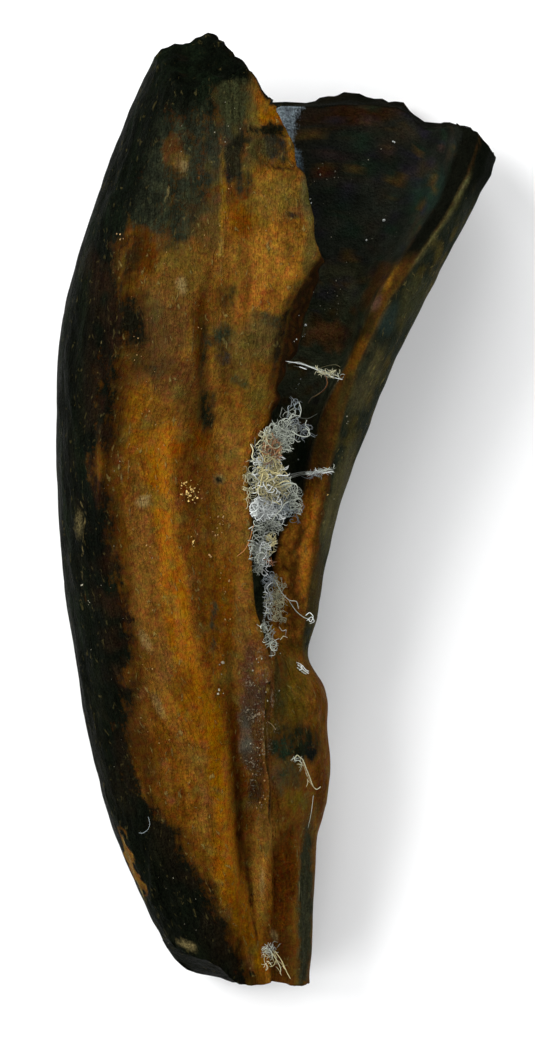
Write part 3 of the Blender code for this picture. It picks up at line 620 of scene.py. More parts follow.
def sculpt_tooth(mesh):
    """Moves the surface in and out, and then its edges."""
    points, normals = positions_of(mesh), normals_of(mesh)
    up = ramp(normals[:, 2], 0.2, 0.6) * (1 - inside_hollow(points, normals))
    moved = points + normals * surface_relief(points, normals, up)[:, None]
    move_edges(moved, points, up)
    set_positions(mesh, moved)


# Levels of the dark stain: none at all, almost none and solid
NO_STAIN = -2
FAINT_STAIN = -1.5
SOLID_STAIN = 2
# Distance from a pale line, in its half widths, where there is no line
NO_LINE = 9.0


def blend(colours, colour, amount):
    """Colours moved towards one colour, by 0 to 1 at each point."""
    return colours + amount[:, None] * (np.array(linear(colour)) - colours)


def painted(colours, *layers):
    """Colours under soft layers, each a colour and its amount at each point."""
    for colour, amount in layers:
        colours = blend(colours, colour, amount)
    return colours


class Skin:
    """The tooth's surface, point by point: its places, its zones and the noises that its stains share."""

    def __init__(self, mesh):
        self.points, self.normals = positions_of(mesh), normals_of(mesh)
        x, y, z = self.x, self.y, self.z = self.points.T
        self.coarse, self.medium = self.noise(0.55, 21), self.noise(0.22, 22)
        self.fine = self.noise(0.1, 23)
        self.stretched = self.noise(0.25, 24, 0.14)
        self.shift_x = 0.13 * self.coarse + 0.1 * self.medium + 0.06 * self.fine
        self.shift_y = 0.2 * self.noise(0.4, 25) + 0.16 * self.noise(0.16, 26)
        self.inside = inside_hollow(self.points, self.normals)
        self.breaks = broken_faces(self.points, self.normals)
        self.up = ramp(self.normals[:, 2], -0.25, 0.15)
        self.edge = self.up * lip_face(self.points)
        # The ridge's crest, painted paler as a painted highlight, where the material also evens out the
        # mottling
        self.crest = hill(x, ridge(y) + 0.08, 0.16) * (1 - ramp(y, 1.2, 2.2)) * ramp(y, -8.6, -7.5)
        # The green band outside the rim, and the strip beside it
        self.band = ramp(x - rim(y), -0.05, 0.05) * ramp(y, -3.3, -2.6)
        self.dark_band = self.band * ramp(y + 0.5 * self.shift_y, 5.5, 6.2)
        from_hollow = x - hollow_side(y)
        self.beside_band = self.up * (1 - self.band) * ramp(from_hollow, -0.5, -0.3) * ramp(y, 0.5, 1.5)
        # The thin edge in the notch, painted grey as a painted shade of the floor seen through it
        notch_shade_share = ramp(y, 6.3, 6.5) * (1 - ramp(z, 1.8, 2.4)) * ramp(x, -0.3, -0.1) * (1 - ramp(x, 0.9, 1.0))
        self.notch_shade_share = notch_shade_share * (ramp(self.normals[:, 2], 0.0, 0.25) * ramp(z, 0.6, 0.9))

    def noise(self, size, seed, along_y=1):
        """Noise over the surface; below 1, along_y stretches it along the tooth."""
        return noise_at(self.points * (1, along_y, 1), size, seed)

    def all_of(self, colour):
        """One colour at every point."""
        return np.tile(np.array(linear(colour)), (len(self.points), 1))

    def stained(self, colours, stains, share):
        """Colours under a list of soft stains, on a share of the surface."""
        for colour, middle_x, middle_y, across, length, turn, strength in stains:
            ragged = min(1, across / 0.3)
            place = self.x + ragged * self.shift_x, self.y + ragged * self.shift_y
            amount = spot(*place, middle_x, middle_y, across, length, turn)
            colours = blend(colours, colour, share * amount * strength)
        return colours


def front_colours(skin):
    """Ochre enamel with its stains, without the dark ones."""
    x, y, fine, medium = skin.x, skin.y, skin.fine, skin.medium
    shade = ramp(y + 2 * skin.shift_y, 4.5, 5.8) * ramp(-0.6 - x - skin.shift_x, -0.2, 0.5)
    # Painted shade on the slope right of the ridge, where it falls into the valley
    ridge_valley_shade = hill(x, ridge(y) + 0.45, 0.22) * (1 - ramp(y, 0.5, 2.0))
    by_flank = 1 - ramp(x + skin.shift_x - stain_edge(y), 0.0, 0.75)
    colours = skin.all_of(OCHRE)
    colours = painted(
        colours,
        (RUST, ramp(skin.noise(1.1, 27) + 0.5 * skin.stretched, -0.1, 0.6) * 0.6),
        (MUSTARD, ramp(skin.noise(0.5, 28), 0.0, 0.5) * 0.4),
        (CHESTNUT, shade * 0.5),
        (LICHEN, shade * ramp(medium + 0.6 * skin.coarse, -0.5, 0.4) * 0.9),
        # painted shade of the valley right of the ridge
        (CHESTNUT, ridge_valley_shade * 0.7),
        # painted highlight along the ridge's crest
        ("#8a581c", skin.crest),
        ("#452908", by_flank * 0.85),
    )
    colours = skin.stained(colours, FRONT_STAINS, skin.up)
    # Smaller blotches and streaks all over
    long_blotches = skin.noise(0.35, 32, 0.35)
    return painted(
        colours,
        ("#43290d", ramp(long_blotches + 0.4 * fine, 0.15, 0.7) * 0.55),
        ("#4f4a1f", ramp(skin.noise(0.3, 33) + 0.4 * fine, 0.2, 0.7) * 0.5),
        ("#8a5c22", ramp(0.5 * fine + skin.stretched - 0.5 * long_blotches, 0.3, 0.8) * 0.4),
        ("#6d4428", ramp(skin.noise(0.24, 34) + 0.4 * medium, 0.3, 0.8) * 0.4),
        (PITCH, ramp(y, 7.8, 8.05) * (1 - ramp(x, -0.55, -0.25))),
    )


def paint_open_side(skin, colours):
    """The lip's broken face, the green band outside the rim, and the ledge inside it."""
    x, y, fine, medium, stretched = skin.x, skin.y, skin.fine, skin.medium, skin.stretched
    up, band, edge = skin.up, skin.band, skin.edge
    colours = painted(
        colours,
        ("#24180b", edge),
        ("#4a2c12", edge * ramp(fine + medium, 0.1, 0.5) * 0.5),
        (MOSS, band),
        (OLIVE, band * ramp(medium + skin.coarse + stretched, 0.0, 0.8) * 0.5),
        ("#0d100a", skin.dark_band),
    )
    colours = skin.stained(colours, BAND_STAINS, band * up)
    from_hollow = x - hollow_side(y)
    low_ledge, high_ledge = 1 - ramp(y, -0.3, 0.8), ramp(y, 4.2, 4.9)
    ledge = up * (1 - skin.inside) * ramp(from_hollow, -0.05, 0.1) * ramp(rim(y) - x, 0, 0.1)
    ledge *= ramp(y, -2.6, -2.2)
    ledge *= 1 - high_ledge
    bright_ledge = ledge * np.clip(low_ledge + 0.15, 0, 1)
    colours = painted(
        colours,
        ("#3e2b10", skin.beside_band * (1 - high_ledge)),
        ("#0c0d08", skin.beside_band * high_ledge),
        ("#3e2b12", ledge),
        # the low ledge painted paler to make up for the shade it lies in: painted light
        ("#b0742f", ledge * low_ledge),
        ("#8a5116", bright_ledge * ramp(stretched + 0.4 * medium, 0.1, 0.5) * 0.65),
        ("#2b1a0a", ledge * ramp(-stretched + 0.5 * fine, 0.0, 0.5) * 0.8),
    )
    ledge_share = up * (1 - band) * (1 - high_ledge) * ramp(from_hollow, -0.4, 0)
    colours = skin.stained(colours, LEDGE_STAINS, ledge_share)
    # A painted highlight along the rim's edge
    rim_highlight = up * hill(x + 0.03 * fine, rim(y) + 0.03, 0.045)
    rim_highlight = rim_highlight * ramp(y, 4.4, 4.9) * (1 - ramp(y, 6.1, 6.5))
    return blend(colours, "#5d5a38", rim_highlight * (0.6 + 0.4 * medium))


def hollow_colours(skin):
    """Colours of the hollow's walls, paler than they look, because little light reaches them."""
    y, coarse, medium = skin.y, skin.coarse, skin.medium
    colours = skin.all_of("#3d422f")
    colours = painted(
        colours,
        ("#2a2e26", ramp(y, 3.6, 4.8)),
        ("#1b1d18", ramp(y, 5.8, 6.6) * 0.8),
        ("#0e110b", ramp(coarse + 0.5 * medium, -0.3, 0.5) * 0.5),
        ("#33281a", ramp(0.5 * skin.stretched - coarse, 0.0, 0.6) * 0.6),
        ("#6a7058", hill(y, 2.4, 0.6) * 0.35),
    )
    colours = skin.stained(colours, HOLLOW_STAINS, np.ones(len(skin.points)))
    for colour, size, seed, share, low, high in (
        ("#241f2b", 0.3, 35, 0.5, 0.1, 0.6),
        ("#1c2e20", 0.35, 36, 0.5, 0.1, 0.6),
        ("#4f3a17", 0.4, 37, 1, 0.35, 0.8),
    ):
        amount = ramp(skin.noise(size, seed) + share * medium, low, high) * 0.6
        colours = blend(colours, colour, amount)
    return colours


def paint_base(skin, colours):
    """The broken base and, beside it, the notch. Also gives the grey colours of the notch's thin edge, a
    painted shade of the floor seen through it.
    """
    x, y, z, fine, medium, notch_shade_share = skin.x, skin.y, skin.z, skin.fine, skin.medium, skin.notch_shade_share
    colours = blend(colours, "#0b0c07", skin.breaks)
    colours = blend(colours, "#1b160b", skin.breaks * ramp(fine + medium, 0.0, 0.5) * 0.3)
    beside_notch = (1 - skin.inside) * ramp(y, 6.2, 6.5) * (1 - ramp(z, 1.8, 2.4)) * hill(x, 0.3, 0.9)
    colours = blend(colours, "#14150d", np.clip(2 * beside_notch, 0, 1))
    # Grey, paler towards the base, painted on the notch's thin edge: painted shade of the floor seen through
    # the notch
    notch_shade_colours = painted(
        colours,
        ("#505d66", notch_shade_share),
        ("#98a5ad", notch_shade_share * ramp(y + 0.1 * medium, 6.6, 7.6) * 0.9),
        ("#4a5558", notch_shade_share * ramp(fine + 0.6 * medium, 0.1, 0.7) * 0.6),
    )
    return colours, notch_shade_colours


def flank_level(skin):
    """How solid the black-green stain of the flank, the cap and the underside is."""
    x, y, up = skin.x, skin.y, skin.up
    level = np.clip((stain_edge(y) - x) / 0.3 + 0.3 * skin.coarse, NO_STAIN, SOLID_STAIN)
    low_end = ramp(y + 1.5 * skin.shift_y + 0.45 * (x + 1.8), 4.4, 5.4)
    most = 0.5 + ramp(y, 7.4, 7.8) + 0.5 * ramp(-1.95 - x, 0, 0.3)
    cap = np.minimum((cap_edge(y) - x - skin.shift_x) / 0.4, most) - 2.2 * (1 - low_end)
    level = np.maximum(level, cap)
    level = np.where(up > 0.5, level, np.maximum(level, 0.35 + 1.4 * skin.noise(1.6, 31, 0.3)))
    return np.where(skin.band > 0.5, np.where(up > 0.5, FAINT_STAIN, level), level)


def flank_colours(skin):
    """Colours of the black-green stain."""
    x, y, coarse, medium, fine = skin.x, skin.y, skin.coarse, skin.medium, skin.fine
    green = ramp(x - stain_edge(y), -0.3, 0.2) * ramp(y, 4.6, 5.2)
    green_below_top = green * (1 - ramp(y, 7.0, 7.8))
    towards_tip = ramp(-2.8 - y, 0, 1.0)
    reddish = hill(x, stain_edge(y) - 0.25, 0.35) * ramp(coarse + 0.4 * medium, -0.3, 0.3)
    reddish *= (1 - ramp(y, 4.6, 5.2)) * (1 - 0.6 * towards_tip)
    return painted(
        skin.all_of(PITCH),
        ("#0e150b", ramp(skin.stretched + 0.6 * coarse, -0.2, 0.7) * 0.8),
        ("#23261b", green_below_top * (0.75 + 0.4 * medium)),
        ("#2e3120", green_below_top * ramp(medium + fine, 0.1, 0.7) * 0.7),
        ("#080b05", towards_tip * 0.6),
        ("#1d1209", reddish),
    )


def dark_stain(skin):
    """Level and colours of the dark stain: wide and soft on the flank, then the smaller dark stains."""
    x, y, up, shift_x, shift_y = skin.x, skin.y, skin.up, skin.shift_x, skin.shift_y
    level, stain_and_shade = flank_level(skin), flank_colours(skin)
    for colour, middle_x, middle_y, across, length, turn, solid in DARK_STAINS:
        ragged = min(1, across / 0.25) * 0.7
        place = x + ragged * shift_x, y + ragged * shift_y
        far = reach(*place, middle_x, middle_y, across, length, turn)
        own = up * (1 - skin.edge) * (1 - skin.band) * (solid + 1.0) - 1.0 - 1.6 * np.maximum(far - 0.65, 0)
        stain_and_shade = blend(stain_and_shade, colour, ramp(own - level, -0.3, 0.3))
        level = np.maximum(level, own)
    for middle_x, middle_y, across, length, turn, depth in THIN_STAIN:
        level -= depth * up * spot(x + shift_x, y + shift_y, middle_x, middle_y, across, length, turn)
    # Streaks of olive and brown show through the stain here and there
    level -= 0.5 * ramp(skin.stretched, 0.1, 0.6) * ramp(-2.9 - x, -0.1, 0.3) * (1 - ramp(y, 5.0, 6.5))
    bare = np.clip(skin.inside + skin.beside_band, 0, 1)
    return np.clip(level, NO_STAIN, SOLID_STAIN) * (1 - bare) + NO_STAIN * bare, stain_and_shade


def pale_marks(skin):
    """Strength of the pale flakes, distance from the pale lines, and how wrinkled the surface is."""
    x, y, fine, medium = skin.x, skin.y, skin.fine, skin.medium
    pale = np.zeros(len(skin.points))
    place = x + 0.04 * fine + 0.02 * medium, y + 0.05 * medium
    for middle_x, middle_y, across, length, turn, strength in PALE_MARKS:
        pale = np.maximum(pale, strength * spot(*place, middle_x, middle_y, across, length, turn))
    from_line = np.full(len(skin.points), NO_LINE)
    for low, high, half_width, path in PALE_LINES:
        aside = np.abs(x - path(y) + 0.02 * fine + 0.02 * medium) / half_width
        beyond = np.maximum(np.maximum(low - y, y - high), 0) / 0.05
        from_line = np.minimum(from_line, aside + beyond)
    wrinkled = np.full(len(skin.points), 0.25)
    for middle_x, middle_y, across, length, strength in WRINKLED:
        wrinkled = np.maximum(wrinkled, strength * spot(x, y, middle_x, middle_y, across, length, 0))
    return pale, from_line, wrinkled


def paint_tooth(mesh):
    """Stores the stains as attributes of the mesh.

    tint is the soft colour, and stain_and_shade_tint the colour that lies over it where dark_level is above
    0: the dark stain and, on the back wall, the grey painted shade of the floor seen through the notch. Their
       ragged edge is the material's.
    """
    skin = Skin(mesh)
    x, y, z, up, inside = skin.x, skin.y, skin.z, skin.up, skin.inside
    colours = paint_open_side(skin, front_colours(skin))
    colours += inside[:, None] * (hollow_colours(skin) - colours)
    colours, notch_shade_colours = paint_base(skin, colours)
    level, stain_and_shade = dark_stain(skin)
    back_wall = (y > 6.2) & (z < 2.6) & (x > -0.5) & (inside + skin.notch_shade_share > 0.2)
    # Left of its edge, the back wall shows the notch's grey painted shade
    level = np.where(back_wall, np.clip((notch_shade_edge(y) - x) / 0.05, -4, 4), level)
    stain_and_shade = np.where(back_wall[:, None], notch_shade_colours, stain_and_shade)
    pale, from_line, wrinkled = pale_marks(skin)
    face = lip_face(skin.points)
    raw = skin.breaks + 0.5 * inside + face + skin.notch_shade_share + skin.beside_band + skin.dark_band
    store_colour(mesh, "tint", colours)
    store_colour(mesh, "stain_and_shade_tint", stain_and_shade)
    for name, values in (
        ("dark_level", level),
        ("pale_mark", up * pale),
        ("crest", 0.7 * skin.crest),
        ("crust", up * spot(x, y, -0.3, -4.2, 0.36, 1.7, 0)),
        ("pale_line", np.where(up * (1 - inside) > 0.5, from_line, NO_LINE)),
        ("wrinkled", wrinkled * up * (1 - inside) * (1 - skin.breaks) * (1 - face)),
        ("raw", np.clip(raw, 0, 1)),
    ):
        store_value(mesh, name, values)
    store_vector(mesh, "lengthwise", np.column_stack((x - ridge(y), y, z)))


def make_tooth_piece():
    piece = copy_of_node(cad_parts["tooth"], "tooth_fossil")
    crease_breaks()
    apply_modifier(piece, "SUBSURF", levels=DIVISIONS, render_levels=DIVISIONS)
    sculpt_tooth(piece.data)
    paint_tooth(piece.data)
    piece.data.materials.clear()
    piece.data.materials.append(stained_enamel())
    bpy.ops.object.shade_smooth()
    return piece


# ---------------------------------------------------------------- lint

# Lint colours
SILVER = "#b6bcac"
BLUE_GREY = "#8c979a"
WOOL = "#c0bc94"
STRAW = "#d2c68c"
RUSTY = "#a5672a"
WHITE = "#e9eeea"

# Tufts of each CAD lint solid: colour, middle x and y, half width, half length, the fibres' direction in
# degrees from +X and its spread, fibres, curl, radius
TUFTS = {
    "lint_wad": (
        (BLUE_GREY, 0.32, 1.95, 0.1, 0.26, 70, 50, 7, 0.8, 0.006),
        (BLUE_GREY, 0.5, 1.48, 0.18, 0.14, 0, 90, 12, 1.5, 0.007),
        (SILVER, 0.2, 1.17, 0.1, 0.07, -50, 40, 26, 0.8, 0.009),
        (SILVER, 0.25, 1.5, 0.14, 0.24, 55, 50, 26, 1.0, 0.007),
        (SILVER, 0.02, 1.36, 0.13, 0.16, 40, 50, 34, 0.9, 0.008),
        (WOOL, -0.12, 1.2, 0.13, 0.18, 50, 60, 44, 0.9, 0.008),
        (WOOL, -0.02, 1.14, 0.1, 0.14, -40, 60, 26, 0.9, 0.008),
        (RUSTY, -0.06, 1.05, 0.1, 0.2, 80, 50, 66, 0.8, 0.009),
        (SILVER, -0.34, 0.95, 0.06, 0.22, 90, 50, 16, 1.0, 0.006),
        (STRAW, -0.1, 0.8, 0.12, 0.26, 100, 35, 90, 0.6, 0.01),
        (WOOL, -0.47, 0.45, 0.08, 0.28, 90, 60, 26, 1.1, 0.005),
        (STRAW, -0.04, 0.42, 0.18, 0.24, 60, 50, 80, 0.7, 0.01),
        (WHITE, -0.08, 0.5, 0.2, 0.4, 90, 60, 60, 0.9, 0.009),
        (SILVER, 0.18, 0.45, 0.1, 0.1, -10, 50, 22, 1.0, 0.008),
        (WHITE, -0.22, -0.02, 0.14, 0.13, 60, 80, 150, 0.9, 0.008),
        (SILVER, 0.32, 0.15, 0.12, 0.24, 60, 50, 24, 1.5, 0.009),
        (BLUE_GREY, 0.2, -0.05, 0.2, 0.2, 40, 70, 22, 1.5, 0.007),
        (WHITE, 0.06, -0.05, 0.08, 0.2, 55, 30, 18, 0.6, 0.01),
        (SILVER, -0.12, -0.36, 0.2, 0.09, 10, 70, 30, 1.1, 0.008),
        (SILVER, -0.28, -0.75, 0.12, 0.28, 75, 60, 40, 1.0, 0.008),
        (WHITE, -0.22, -0.85, 0.08, 0.26, 80, 50, 36, 0.8, 0.008),
        (STRAW, -0.08, -0.66, 0.06, 0.14, 20, 60, 26, 0.6, 0.01),
        (RUSTY, -0.1, -1.02, 0.07, 0.05, 0, 40, 14, 0.5, 0.01),
        (SILVER, -0.32, -1.13, 0.06, 0.08, 80, 40, 20, 0.8, 0.008),
        (BLUE_GREY, -0.1, -1.38, 0.09, 0.1, 60, 70, 14, 1.0, 0.006),
        (WHITE, -0.13, -1.72, 0.05, 0.36, 88, 25, 34, 0.6, 0.008),
        (WOOL, 0.05, -1.8, 0.14, 0.32, 60, 70, 44, 1.4, 0.006),
        (SILVER, -0.24, -2.22, 0.09, 0.06, 10, 70, 18, 0.9, 0.008),
        (SILVER, -0.05, -2.55, 0.06, 0.15, 110, 40, 16, 0.8, 0.008),
        (SILVER, -0.13, -2.4, 0.07, 0.12, 120, 50, 14, 0.9, 0.007),
    ),
    "lint_bridge": (
        (RUSTY, 0.24, 2.73, 0.05, 0.03, 0, 40, 16, 0.5, 0.007),
        (SILVER, 0.42, 2.73, 0.2, 0.035, -8, 15, 34, 0.4, 0.007),
        (WHITE, 0.6, 2.68, 0.18, 0.04, -12, 15, 34, 0.3, 0.007),
        (WOOL, 0.92, 2.6, 0.14, 0.05, -20, 25, 30, 0.4, 0.007),
        (STRAW, 1.05, 2.66, 0.13, 0.04, 25, 15, 16, 0.3, 0.007),
        (WOOL, 1.08, 2.54, 0.16, 0.05, -20, 30, 40, 0.6, 0.008),
        (SILVER, 1.25, 2.46, 0.05, 0.05, 40, 70, 14, 0.9, 0.007),
    ),
    "lint_arm": (
        (WHITE, 0.28, 0.56, 0.14, 0.05, 14, 25, 50, 0.5, 0.008),
        (WHITE, 0.44, 0.64, 0.16, 0.04, 10, 12, 60, 0.3, 0.01),
        (SILVER, 0.5, 0.63, 0.16, 0.05, 6, 20, 50, 0.5, 0.008),
        (WHITE, 0.75, 0.67, 0.2, 0.035, 5, 15, 40, 0.4, 0.007),
        (SILVER, 1.0, 0.71, 0.14, 0.025, 8, 20, 20, 0.5, 0.007),
        (BLUE_GREY, 0.78, 0.6, 0.12, 0.04, -10, 60, 10, 1.0, 0.006),
        (SILVER, 1.14, 0.74, 0.05, 0.04, 15, 60, 12, 1.0, 0.007),
    ),
    "side_fluff": (
        (SILVER, 0.42, -4.75, 0.06, 0.03, 20, 50, 7, 0.8, 0.006),
        (WOOL, 0.5, -4.85, 0.03, 0.08, 115, 30, 8, 0.6, 0.006),
        (WOOL, 0.62, -5.05, 0.02, 0.16, 112, 10, 6, 0.2, 0.006),
    ),
    "tip_fluff": (
        (SILVER, -0.12, -8.4, 0.07, 0.08, 40, 70, 16, 0.9, 0.006),
        (WOOL, -0.15, -8.55, 0.06, 0.12, 60, 60, 12, 0.8, 0.006),
        (SILVER, 0.02, -8.32, 0.05, 0.07, 30, 70, 7, 0.9, 0.006),
        (STRAW, 0.05, -8.62, 0.08, 0.16, -55, 18, 10, 0.3, 0.006),
    ),
}
# A fibre's steps are this long, and it has this many, fewest and most
FIBRE_STEP = 0.03
FIBRE_STEPS = (12, 42)
FIBRE_SIDES = 3

# Loose hairs, each with its CAD solid or the tooth below: colour, radius, height above what is below,
# route of (x, y)
HAIRS = {
    "lint_wad": (
        (SILVER, 0.008, 0.1, (0.15, 1.9), (0.28, 1.75), (0.42, 1.72), (0.62, 1.68), (0.8, 1.78)),
        (BLUE_GREY, 0.007, 0.1, (0.3, 1.9), (0.32, 2.05), (0.27, 2.1)),
        (SILVER, 0.007, 0.1, (0.45, 2.0), (0.5, 1.85), (0.47, 1.7)),
        (SILVER, 0.008, 0.12, (0.3, 1.45), (0.44, 1.36), (0.6, 1.33), (0.67, 1.38), (0.6, 1.5), (0.52, 1.46)),
        (SILVER, 0.01, 0.12, (0.12, 0.42), (0.26, 0.47), (0.4, 0.45), (0.44, 0.35), (0.38, 0.2)),
        (SILVER, 0.01, 0.12, (-0.06, -0.26), (0.02, -0.12), (0.13, -0.02), (0.17, 0.08), (0.27, 0.12)),
        (WOOL, 0.012, 0.08, (-0.46, 1.2), (-0.4, 1.08), (-0.44, 0.95), (-0.38, 0.9)),
        (SILVER, 0.008, 0.05, (0.6, 1.35), (0.66, 1.48), (0.56, 1.56), (0.6, 1.66)),
        (RUSTY, 0.007, 0.02, (-0.4, -0.32), (-0.47, -0.6), (-0.56, -0.8), (-0.72, -0.92)),
        (SILVER, 0.009, 0.03, (0.0, -1.35), (0.12, -1.6), (0.27, -1.76), (0.42, -1.76), (0.45, -1.92)),
        (SILVER, 0.009, 0.03, (0.27, -1.76), (0.4, -1.96), (0.55, -2.08), (0.68, -2.12)),
        (WHITE, 0.01, 0.04, (0.58, -2.04), (0.66, -1.97), (0.74, -2.06), (0.68, -2.18), (0.62, -2.1)),
        (WHITE, 0.009, 0.04, (0.6, -2.14), (0.7, -2.05), (0.76, -2.16), (0.66, -2.2)),
        (SILVER, 0.008, 0.03, (0.08, -2.25), (0.14, -2.34), (0.22, -2.3), (0.2, -2.42)),
        (WOOL, 0.008, 0.03, (0.1, -2.5), (0.16, -2.42), (0.24, -2.46)),
        (WHITE, 0.02, 0.01, (0.43, -2.97), (0.49, -3.02), (0.55, -3.08), (0.64, -3.14)),
        (WHITE, 0.018, 0.02, (0.46, -2.95), (0.53, -3.0), (0.58, -3.07), (0.64, -3.1)),
        (SILVER, 0.016, 0.03, (0.42, -3.02), (0.48, -3.07), (0.54, -3.12), (0.6, -3.15)),
        (WHITE, 0.012, 0.03, (0.41, -2.93), (0.5, -2.96), (0.52, -3.05), (0.46, -3.08)),
    ),
    "lint_bridge": (
        (RUSTY, 0.016, 0.3, (0.92, 2.6), (0.98, 2.46), (1.0, 2.34), (0.93, 2.22), (0.84, 2.16)),
        (CREAM, 0.013, 0.2, (0.86, 2.18), (0.78, 2.12), (0.7, 2.09), (0.63, 1.98)),
        (WHITE, 0.009, 0.0, (0.2, 2.76), (0.5, 2.72), (0.8, 2.6), (1.1, 2.46), (1.28, 2.42)),
        (WHITE, 0.01, 0.02, (0.4, 2.75), (0.6, 2.7), (0.8, 2.64), (0.95, 2.6)),
        (SILVER, 0.008, 0.0, (0.24, 2.73), (0.45, 2.76), (0.65, 2.67), (0.85, 2.62), (1.1, 2.52)),
        (SILVER, 0.008, 0.03, (0.35, 2.7), (0.55, 2.66), (0.75, 2.66), (0.98, 2.52), (1.2, 2.5)),
        (STRAW, 0.007, 0.0, (0.75, 2.62), (1.0, 2.7), (1.15, 2.72), (1.25, 2.66)),
    ),
    "lint_arm": (
        (WHITE, 0.01, 0.02, (0.06, 0.5), (0.28, 0.59), (0.53, 0.66), (0.72, 0.66), (0.9, 0.71)),
        (SILVER, 0.01, 0.03, (0.08, 0.56), (0.25, 0.62), (0.5, 0.65), (0.75, 0.69), (0.95, 0.7)),
        (SILVER, 0.008, 0.0, (0.05, 0.45), (0.26, 0.55), (0.5, 0.63), (0.7, 0.64)),
        (WHITE, 0.008, 0.04, (0.12, 0.53), (0.3, 0.64), (0.55, 0.69), (0.8, 0.68), (1.1, 0.73)),
        (SILVER, 0.007, 0.02, (0.15, 0.6), (0.35, 0.58), (0.5, 0.68), (0.64, 0.64)),
        (BLUE_GREY, 0.007, 0.0, (0.5, 0.6), (0.62, 0.55), (0.75, 0.62), (0.86, 0.58)),
    ),
    "side_fluff": (
        (WOOL, 0.011, 0.0, (0.38, -4.73), (0.42, -4.67), (0.48, -4.73), (0.53, -4.76), (0.6, -4.95),
         (0.67, -5.12), (0.72, -5.28), (0.79, -5.35), (0.87, -5.29)),
        (CREAM, 0.009, 0.02, (0.52, -4.8), (0.6, -5.02), (0.7, -5.26), (0.77, -5.33)),
        (SILVER, 0.008, 0.02, (0.36, -4.7), (0.38, -4.8), (0.45, -4.77), (0.52, -4.84)),
        (SILVER, 0.006, 0.02, (0.73, -5.45), (0.71, -5.65), (0.68, -5.85), (0.63, -6.08)),
        (CREAM, 0.01, 0.02, (-0.14, -4.04), (-0.05, -4.1), (0.02, -4.2)),
    ),
    "tip_fluff": (
        (WOOL, 0.008, 0.02, (-0.05, -8.45), (0.05, -8.6), (0.12, -8.75), (0.1, -8.85)),
        (STRAW, 0.008, 0.02, (0.0, -8.4), (0.14, -8.6), (0.22, -8.8), (0.3, -8.95)),
        (BLUE_GREY, 0.004, 0.02, (-2.4, -5.85), (-2.36, -5.98), (-2.4, -6.1), (-2.5, -6.17), (-2.58, -6.16)),
    ),
}


class Surfaces:
    """Heights of a CAD lint solid and of the tooth under it, for fibres to lie between."""

    def __init__(self, tooth, solid):
        self.tooth = self.tree_of(tooth)
        self.solid = self.tree_of(solid)

    @staticmethod
    def tree_of(obj):
        return bvhtree.BVHTree.FromObject(obj, bpy.context.evaluated_depsgraph_get())

    @staticmethod
    def height(tree, x, y, upwards=False):
        start = Vector((x, y, -1 if upwards else 9)) * MM
        hit = tree.ray_cast(start, Vector((0, 0, 1 if upwards else -1)))[0]
        return None if hit is None else hit.z / MM

    def level(self, x, y, depth, radius):
        """z at a share of the solid's thickness, clear of the tooth; nothing where there is no solid."""
        low, high = self.height(self.solid, x, y, upwards=True), self.height(self.solid, x, y)
        return None if low is None or high is None else self.clear(x, y, low + (high - low) * depth, radius)

    def clear(self, x, y, z, radius):
        under = self.height(self.tooth, x, y)
        return z if under is None else max(z, under + 1.5 * radius)


def place_in_ellipse(rng, middle_x, middle_y, across, length):
    """A random place in an upright ellipse, equally likely anywhere in it."""
    turn, share = rng.uniform(0, 2 * math.pi), math.sqrt(rng.random())
    return middle_x + across * share * math.cos(turn), middle_y + length * share * math.sin(turn)


def curly_fibre(rng, surfaces, middle, half, direction, curl, radius):
    """A fibre that wanders through a tuft and may stick out of it a little."""
    x, y = place_in_ellipse(rng, *middle, *half)
    heading = direction + rng.choice((0, math.pi))
    bend, lean = 0.0, rng.gauss(0, 0.3 * curl)
    depth, drift = rng.uniform(0.1, 1), rng.uniform(-0.04, 0.04)
    level, out, points = None, 0, []
    for _ in range(rng.randint(*FIBRE_STEPS)):
        z = surfaces.level(x, y, min(max(depth, 0), 1), radius)
        out = out + 1 if z is None else 0
        if level is not None or z is not None:
            target = level if z is None else z
            level = target if level is None else level + (target - level) * 0.6
            level = surfaces.clear(x, y, level, radius)
            points.append((x, y, level))
        away = math.hypot((x - middle[0]) / half[0], (y - middle[1]) / half[1])
        if out > 3 or away > 1.8:
            break
        home = math.atan2(middle[1] - y, middle[0] - x)
        bend = 0.6 * bend + rng.gauss(0, 0.32 * curl)
        pull = 0.35 if out else 0.1 * max(0.0, away - 0.9)
        heading += bend + lean + pull * math.sin(home - heading)
        if rng.random() < 0.06 * curl:
            heading += rng.choice((-1, 1)) * rng.uniform(0.8, 1.6)
        x += FIBRE_STEP * math.cos(heading)
        y += FIBRE_STEP * math.sin(heading)
        depth += drift
    return points


HAIR_STEPS = 6
HAIR_SMOOTHINGS = 6


def hair(surfaces, route, lift, radius):
    """A loose hair that follows a route over the tooth, and bridges the crack between its two sides."""
    route = np.array(route, float)
    at = np.linspace(0, len(route) - 1, HAIR_STEPS * len(route))
    line = np.column_stack([np.interp(at, np.arange(len(route)), route[:, axis]) for axis in range(2)])
    for _ in range(HAIR_SMOOTHINGS):
        line[1:-1] = (line[:-2] + 2 * line[1:-1] + line[2:]) / 4
    ends = []
    for x, y in (line[0], line[-1]):
        solid = surfaces.height(surfaces.solid, x, y)
        tooth = surfaces.height(surfaces.tooth, x, y)
        known = [z for z in (solid, tooth) if z is not None]
        ends.append(max(known) if known else 0.0)
    levels = np.linspace(ends[0], ends[1], len(line)) + lift * np.sin(np.linspace(0, math.pi, len(line)))
    return [(x, y, surfaces.clear(x, y, z, radius)) for (x, y), z in zip(line, levels)]


